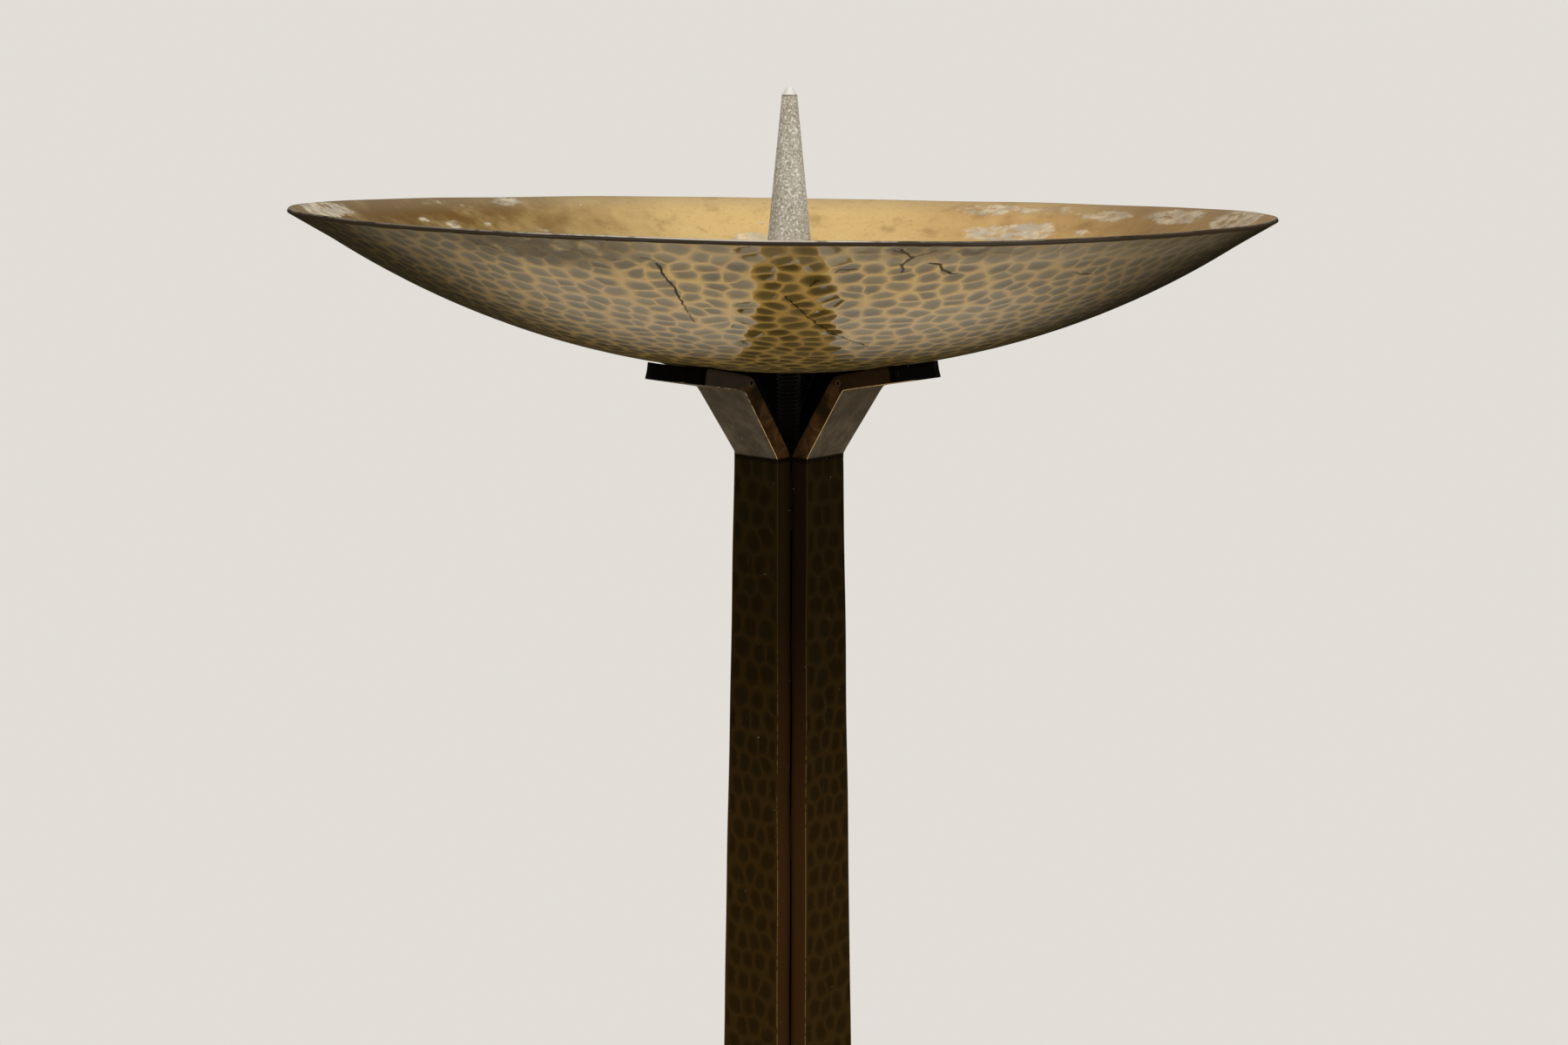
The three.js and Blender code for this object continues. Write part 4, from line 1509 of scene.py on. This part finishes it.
class PadSettings(bpy.types.PropertyGroup):
    """Sizes and colours of the rubber pads under the feet."""

    length: span("Length", "Length of a pad", 48.0)
    width: span("Width", "Width of a pad", 45.0)
    corner: span("Corner", "Radius of a pad's corners", 8.0)
    reach: span("Reach", "From the axis to a pad's middle", 175.0)
    rubber_colour: tint("Rubber Colour", "Matt black rubber", (0.018, 0.018, 0.017))


def rubber_finish(settings):
    """Matt black rubber, slightly dusty."""
    return mottled(
        "pad_rubber", settings.rubber_colour, (0.05, 0.048, 0.044),
        patches=(60.0, 4.0, 0.6), edges=(0.45, 0.75, 0.0, 0.6), grains=(1200.0, 2.0),
        roughness=(0.75, 0.15), specular=0.3, depth=0.00012, strength=0.6,
    )


def four_tree(name, material):
    """Repeats a piece drawn at the origin and pointing along X on the four feet."""
    nodes, given = new_tree(name, "Count", "Reach", "First Turn")
    values = {"Vertices": given["Count"], "Radius": given["Reach"]}
    ring = nodes.add("GeometryNodeMeshCircle", None, values)
    step = nodes.add("GeometryNodeInputIndex") / given["Count"] * math.tau
    values = {"Points": ring, "Instance": given["Geometry"], "Rotation": nodes.joined(z=step)}
    placed = nodes.add("GeometryNodeInstanceOnPoints", None, values)
    values = {"Geometry": placed, "Rotation": nodes.joined(z=given["First Turn"])}
    finish_tree(nodes, nodes.add("GeometryNodeTransform", None, values), material)
    return nodes.tree


def pad_mesh(settings, thick, bore, head, web):
    """A rubber pad with rounded corners, a bore and a sunk seat for its screw, pointing along X."""
    long, wide, corner = (
        value / MM for value in (settings.length / 2, settings.width / 2, settings.corner)
    )
    arc_steps = 8
    count = 4 * (arc_steps + 1)

    def outline(inset):
        line = []
        for k, (sx, sy) in enumerate(((1, 1), (-1, 1), (-1, -1), (1, -1))):
            for j in range(arc_steps + 1):
                angle = math.pi / 2 * (k + j / arc_steps)
                line.append((
                    sx * (long - corner) + (corner - inset) * math.cos(angle),
                    sy * (wide - corner) + (corner - inset) * math.sin(angle),
                ))
        return line

    def circle(radius):
        turns = (math.tau * (k + arc_steps / 2) / count for k in range(count))
        return [(radius * math.cos(turn), radius * math.sin(turn)) for turn in turns]

    rings = [
        (circle(head), 0.0), (outline(1.2), 0.0), (outline(0.35), 0.25), (outline(0.0), 0.9),
        (outline(0.0), thick - 0.9), (outline(0.35), thick - 0.25), (outline(1.2), thick),
        (circle(bore), thick), (circle(bore), thick - web), (circle(head), thick - web),
    ]
    points = [(x, y, z) for line, z in rings for x, y in line]
    return new_mesh("pad_seed", points, round_faces(len(rings), count, closed=True))


def screw_mesh(low, neck, top, head, shank):
    """A pan-head screw with a shallow dish in its head, head down."""
    profile = eased([
        (0.0, low + 0.5), (head * 0.45, low + 0.15), (head * 0.6, low), (head, low + 0.5),
        (head, neck), (shank, neck), (shank, top - 1.5), (0.0, top),
    ], 0.25)
    screw = turned("screw_seed", profile, 32, None)
    mesh = screw.data
    bpy.data.objects.remove(screw)
    return mesh


class CANDLESTICK_OT_mould_pads(bpy.types.Operator):
    """Moulds the four rubber pads and drives their screws"""

    bl_idname = "candlestick.mould_pads"
    bl_label = "Pads and Screws"

    def execute(self, context):
        settings = context.scene.candlestick_pads
        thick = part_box("foot_pad_front_left")[1].z / MM
        low, top = (corner.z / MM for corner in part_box("foot_screw_front_left"))
        web, head, shank, play = 2.2, 4.6, 2.5, 0.3
        values = {"Count": 4, "Reach": settings.reach, "First Turn": math.pi / 4}
        pads = grown(
            "rubber_pads", pad_mesh(settings, thick, shank + play, head + play, web),
            four_tree("four_pads", rubber_finish(settings)), values,
        )
        steel = bpy.data.materials["dark_steel"]
        screws = grown(
            "pad_screws", screw_mesh(low, thick - web - play, top, head, shank),
            four_tree("four_screws", steel), values,
        )
        for thing, node, slot in (
            (pads, "foot_pad", "pad_rubber"), (screws, "foot_screw", "dark_steel"),
        ):
            shaded(thing.data, 45)
            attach(thing, "column")
            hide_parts(*(f"{node}_{corner}" for corner in BAR_TURNS))
        return {"FINISHED"}


# Wax


class WaxSettings(bpy.types.PropertyGroup):
    """Amount, sizes and colour of the crumbs of wax in the bowl."""

    density: bpy.props.FloatProperty(
        name="Density", description="Crumbs on each square metre of the bowl", default=2600.0,
    )
    size: span("Size", "Width of a large crumb", 2.2)
    seed: draw_seed("Another number scatters the crumbs another way", 5)
    wax_colour: tint("Wax Colour", "Old wax", (0.60, 0.55, 0.43))


def wax_finish(settings):
    """Dull old wax, greyed by dust."""
    return mottled(
        "old_wax", settings.wax_colour, (0.36, 0.31, 0.22),
        patches=(220.0, 3.0), edges=(0.35, 0.7), grains=(220.0, 3.0),
        roughness=(0.5, 0.3), specular=0.35, depth=0.0003, strength=0.6,
    )


def crumb_tree(material):
    """Scatters flattened crumbs over the faces of the given patch, thickest where noise says."""
    nodes, given = new_tree("wax_crumbs", "Density", "Size", "Seed")
    where = nodes.add("GeometryNodeInputPosition")
    patch = nodes.noise(where, 14.0, 2.0).smooth(0.5, 0.66)
    scatter = nodes.tree.nodes.new("GeometryNodeDistributePointsOnFaces")
    nodes.feed(scatter.inputs["Mesh"], given["Geometry"])
    nodes.feed(scatter.inputs["Density"], given["Density"] * patch)
    nodes.feed(scatter.inputs["Seed"], given["Seed"])
    ball = nodes.add("GeometryNodeMeshIcoSphere", None, {"Radius": 0.5, "Subdivisions": 2})
    lumps = nodes.add("ShaderNodeTexNoise", None, {"Scale": 2.5}, out=1)
    lumps = nodes.vector("SUBTRACT", lumps, (0.5, 0.5, 0.5))
    bumpy = nodes.add("GeometryNodeSetPosition", None, {"Geometry": ball, "Offset": lumps})
    values = {2: 0.25, 3: 1.0, "Seed": given["Seed"]}
    chance = nodes.add("FunctionNodeRandomValue", {"data_type": "FLOAT"}, values, out=1)
    size = given["Size"] * chance * chance
    scale = nodes.joined(size, size * 0.8, size * 0.4)
    values = {
        "Points": Wire(nodes, scatter.outputs["Points"]), "Instance": bumpy,
        "Rotation": Wire(nodes, scatter.outputs["Rotation"]), "Scale": scale,
    }
    crumbs = nodes.add("GeometryNodeInstanceOnPoints", None, values)
    finish_tree(nodes, crumbs, material)
    return nodes.tree


class CANDLESTICK_OT_drip_wax(bpy.types.Operator):
    """Scatters crumbs of old wax inside the bowl"""

    bl_idname = "candlestick.drip_wax"
    bl_label = "Wax Crumbs"

    def execute(self, context):
        settings = context.scene.candlestick_wax
        rows, sides = 24, 96
        first, last = 60.0, BOWL_LENGTH - 2.0
        along = np.repeat(np.linspace(first, last, rows), sides)
        turn = np.tile(np.arange(sides) * math.tau / sides, rows)
        spots = bowl_solid(
            along * np.cos(turn), along * np.sin(turn), np.full(along.shape, BOWL_WALL + 0.1), 0.0,
        )
        patch = new_mesh("wax_patch", spots, round_faces(rows, sides))
        values = {"Density": settings.density, "Size": settings.size, "Seed": settings.seed}
        crumbs = grown("wax_crumbs", patch, crumb_tree(wax_finish(settings)), values)
        if not crumbs.data.polygons:
            raise RuntimeError("the wax tree made no crumbs")
        crumbs.data.shade_smooth()
        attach(crumbs, "bowl")
        return {"FINISHED"}


# Stage


class StageSettings(bpy.types.PropertyGroup):
    """The floor, the lamps and the camera."""

    floor_colour: tint("Floor Colour", "Colour of the plain floor", (0.76, 0.735, 0.65))
    sky_colour: tint("Backdrop Colour", "Colour behind the object", (0.76, 0.73, 0.68))
    fill: bpy.props.FloatProperty(
        name="Fill", description="Light from all round", default=0.45,
    )
    overhead: bpy.props.FloatProperty(
        name="Overhead Lamp", description="Power of the wide lamp above", default=48.0, unit="POWER",
    )
    side: bpy.props.FloatProperty(
        name="Side Lamps", description="Power of each lamp at the side", default=30.0, unit="POWER",
    )


def soft_lamp(name, spot, target, size, power):
    """A wide square lamp that looks at a point."""
    data = bpy.data.lights.new(name, "AREA")
    data.shape = "SQUARE"
    data.size = size
    data.energy = power
    lamp = link(name, data)
    lamp.location = spot
    lamp.rotation_euler = (Vector(target) - Vector(spot)).to_track_quat("-Z", "Y").to_euler()


class CANDLESTICK_OT_light_stage(bpy.types.Operator):
    """Lays the floor and sets the lamps and the camera"""

    bl_idname = "candlestick.light_stage"
    bl_label = "Stage"

    def execute(self, context):
        settings = context.scene.candlestick_stage
        scene = context.scene
        scene.view_settings.view_transform = "Standard"

        mesh = bpy.data.meshes.new("floor")
        work = bmesh.new()
        bmesh.ops.create_circle(work, cap_ends=True, segments=96, radius=40.0)
        work.to_mesh(mesh)
        work.free()
        floor = link("floor", mesh)
        material, nodes = new_finish("plain_floor")
        where = nodes.add("ShaderNodeTexCoord", None, None, out=3)
        out = nodes.vector("LENGTH", where, out=1)
        seen = nodes.add("ShaderNodeLightPath", None, None, out=0)
        glossy = nodes.add("ShaderNodeLightPath", None, None, out=3)
        share = (out.smooth(0.75, 1.35) * seen).most(out.smooth(1.4, 2.4) * glossy)
        plain = nodes.add("ShaderNodeBsdfDiffuse", None, {"Color": settings.floor_colour})
        glow = nodes.add("ShaderNodeEmission", None, {"Color": settings.sky_colour, "Strength": 1.0})
        mixed = nodes.add("ShaderNodeMixShader", None, {0: share, 1: plain, 2: glow})
        nodes.add("ShaderNodeOutputMaterial", None, {"Surface": mixed})
        mesh.materials.append(material)

        world = bpy.data.worlds.new("studio")
        world.use_nodes = True
        scene.world = world
        nodes = Nodes(world.node_tree)
        light_path = nodes.tree.nodes.new("ShaderNodeLightPath")
        camera_ray, glossy_ray, through_ray = (
            Wire(nodes, light_path.outputs[name])
            for name in ("Is Camera Ray", "Is Glossy Ray", "Is Transmission Ray")
        )
        shown = camera_ray.most(glossy_ray).most(through_ray)
        back = nodes.add(
            "ShaderNodeBackground", None, {"Color": settings.sky_colour, "Strength": 1.0},
        )
        fill = nodes.add(
            "ShaderNodeBackground", None, {"Color": (1.0, 1.0, 1.0), "Strength": settings.fill},
        )
        mixed = nodes.add("ShaderNodeMixShader", None, {0: shown, 1: fill, 2: back})
        nodes.add("ShaderNodeOutputWorld", None, {"Surface": mixed})

        middle = (0.0, 0.0, 0.85)
        soft_lamp("overhead_lamp", (0.2, -0.5, 3.3), (0.0, 0.0, 0.9), 3.0, settings.overhead)
        soft_lamp("left_lamp", (-2.4, -2.2, 1.9), middle, 2.2, settings.side)
        soft_lamp("right_lamp", (2.6, -1.9, 1.7), middle, 2.2, settings.side)

        data = bpy.data.cameras.new("camera")
        data.sensor_width = 36.0
        data.lens = FOCAL_LENGTH * data.sensor_width / IMAGE_WIDTH
        camera = link("camera", data)
        around, pitch, roll = math.radians(-3.7), math.radians(10.35), math.radians(0.125)
        distance, height = 1.15, 1.0698
        yaw = math.atan(AIM_ASIDE / FOCAL_LENGTH)
        camera.location = (distance * math.sin(around), -distance * math.cos(around), height)
        camera.matrix_world = (
            Matrix.Translation(camera.location)
            @ Matrix.Rotation(around + yaw, 4, "Z")
            @ Matrix.Rotation(math.pi / 2 - pitch, 4, "X")
            @ Matrix.Rotation(roll, 4, "Z")
        )
        scene.camera = camera
        return {"FINISHED"}


class CANDLESTICK_PT_pieces(bpy.types.Panel):
    """Lists the candlestick's pieces"""

    bl_label = "Candlestick"
    bl_idname = "CANDLESTICK_PT_pieces"
    bl_space_type = "VIEW_3D"
    bl_region_type = "UI"
    bl_category = "Candlestick"

    def draw(self, context):
        for operator in PIECES:
            self.layout.operator(operator.bl_idname)


PIECES = (
    CANDLESTICK_OT_hammer_bowl,
    CANDLESTICK_OT_forge_bars,
    CANDLESTICK_OT_turn_pricket,
    CANDLESTICK_OT_cut_thread,
    CANDLESTICK_OT_fit_blocks,
    CANDLESTICK_OT_mould_pads,
    CANDLESTICK_OT_drip_wax,
    CANDLESTICK_OT_light_stage,
)
GROUPS = {
    "candlestick_bowl": BowlSettings,
    "candlestick_bars": BarSettings,
    "candlestick_pricket": PricketSettings,
    "candlestick_rod": RodSettings,
    "candlestick_pads": PadSettings,
    "candlestick_wax": WaxSettings,
    "candlestick_stage": StageSettings,
}


def register():
    for name, group in GROUPS.items():
        bpy.utils.register_class(group)
        setattr(bpy.types.Scene, name, bpy.props.PointerProperty(type=group))
    for operator in PIECES:
        bpy.utils.register_class(operator)
    bpy.utils.register_class(CANDLESTICK_PT_pieces)


def unregister():
    bpy.utils.unregister_class(CANDLESTICK_PT_pieces)
    for operator in reversed(PIECES):
        bpy.utils.unregister_class(operator)
    for name, group in GROUPS.items():
        delattr(bpy.types.Scene, name)
        bpy.utils.unregister_class(group)


def main():
    register()
    bpy.ops.candlestick.hammer_bowl()
    bpy.ops.candlestick.forge_bars()
    bpy.ops.candlestick.turn_pricket()
    bpy.ops.candlestick.cut_thread()
    bpy.ops.candlestick.fit_blocks()
    bpy.ops.candlestick.mould_pads()
    bpy.ops.candlestick.drip_wax()
    bpy.ops.candlestick.light_stage()


if __name__ == "__main__":
    main()
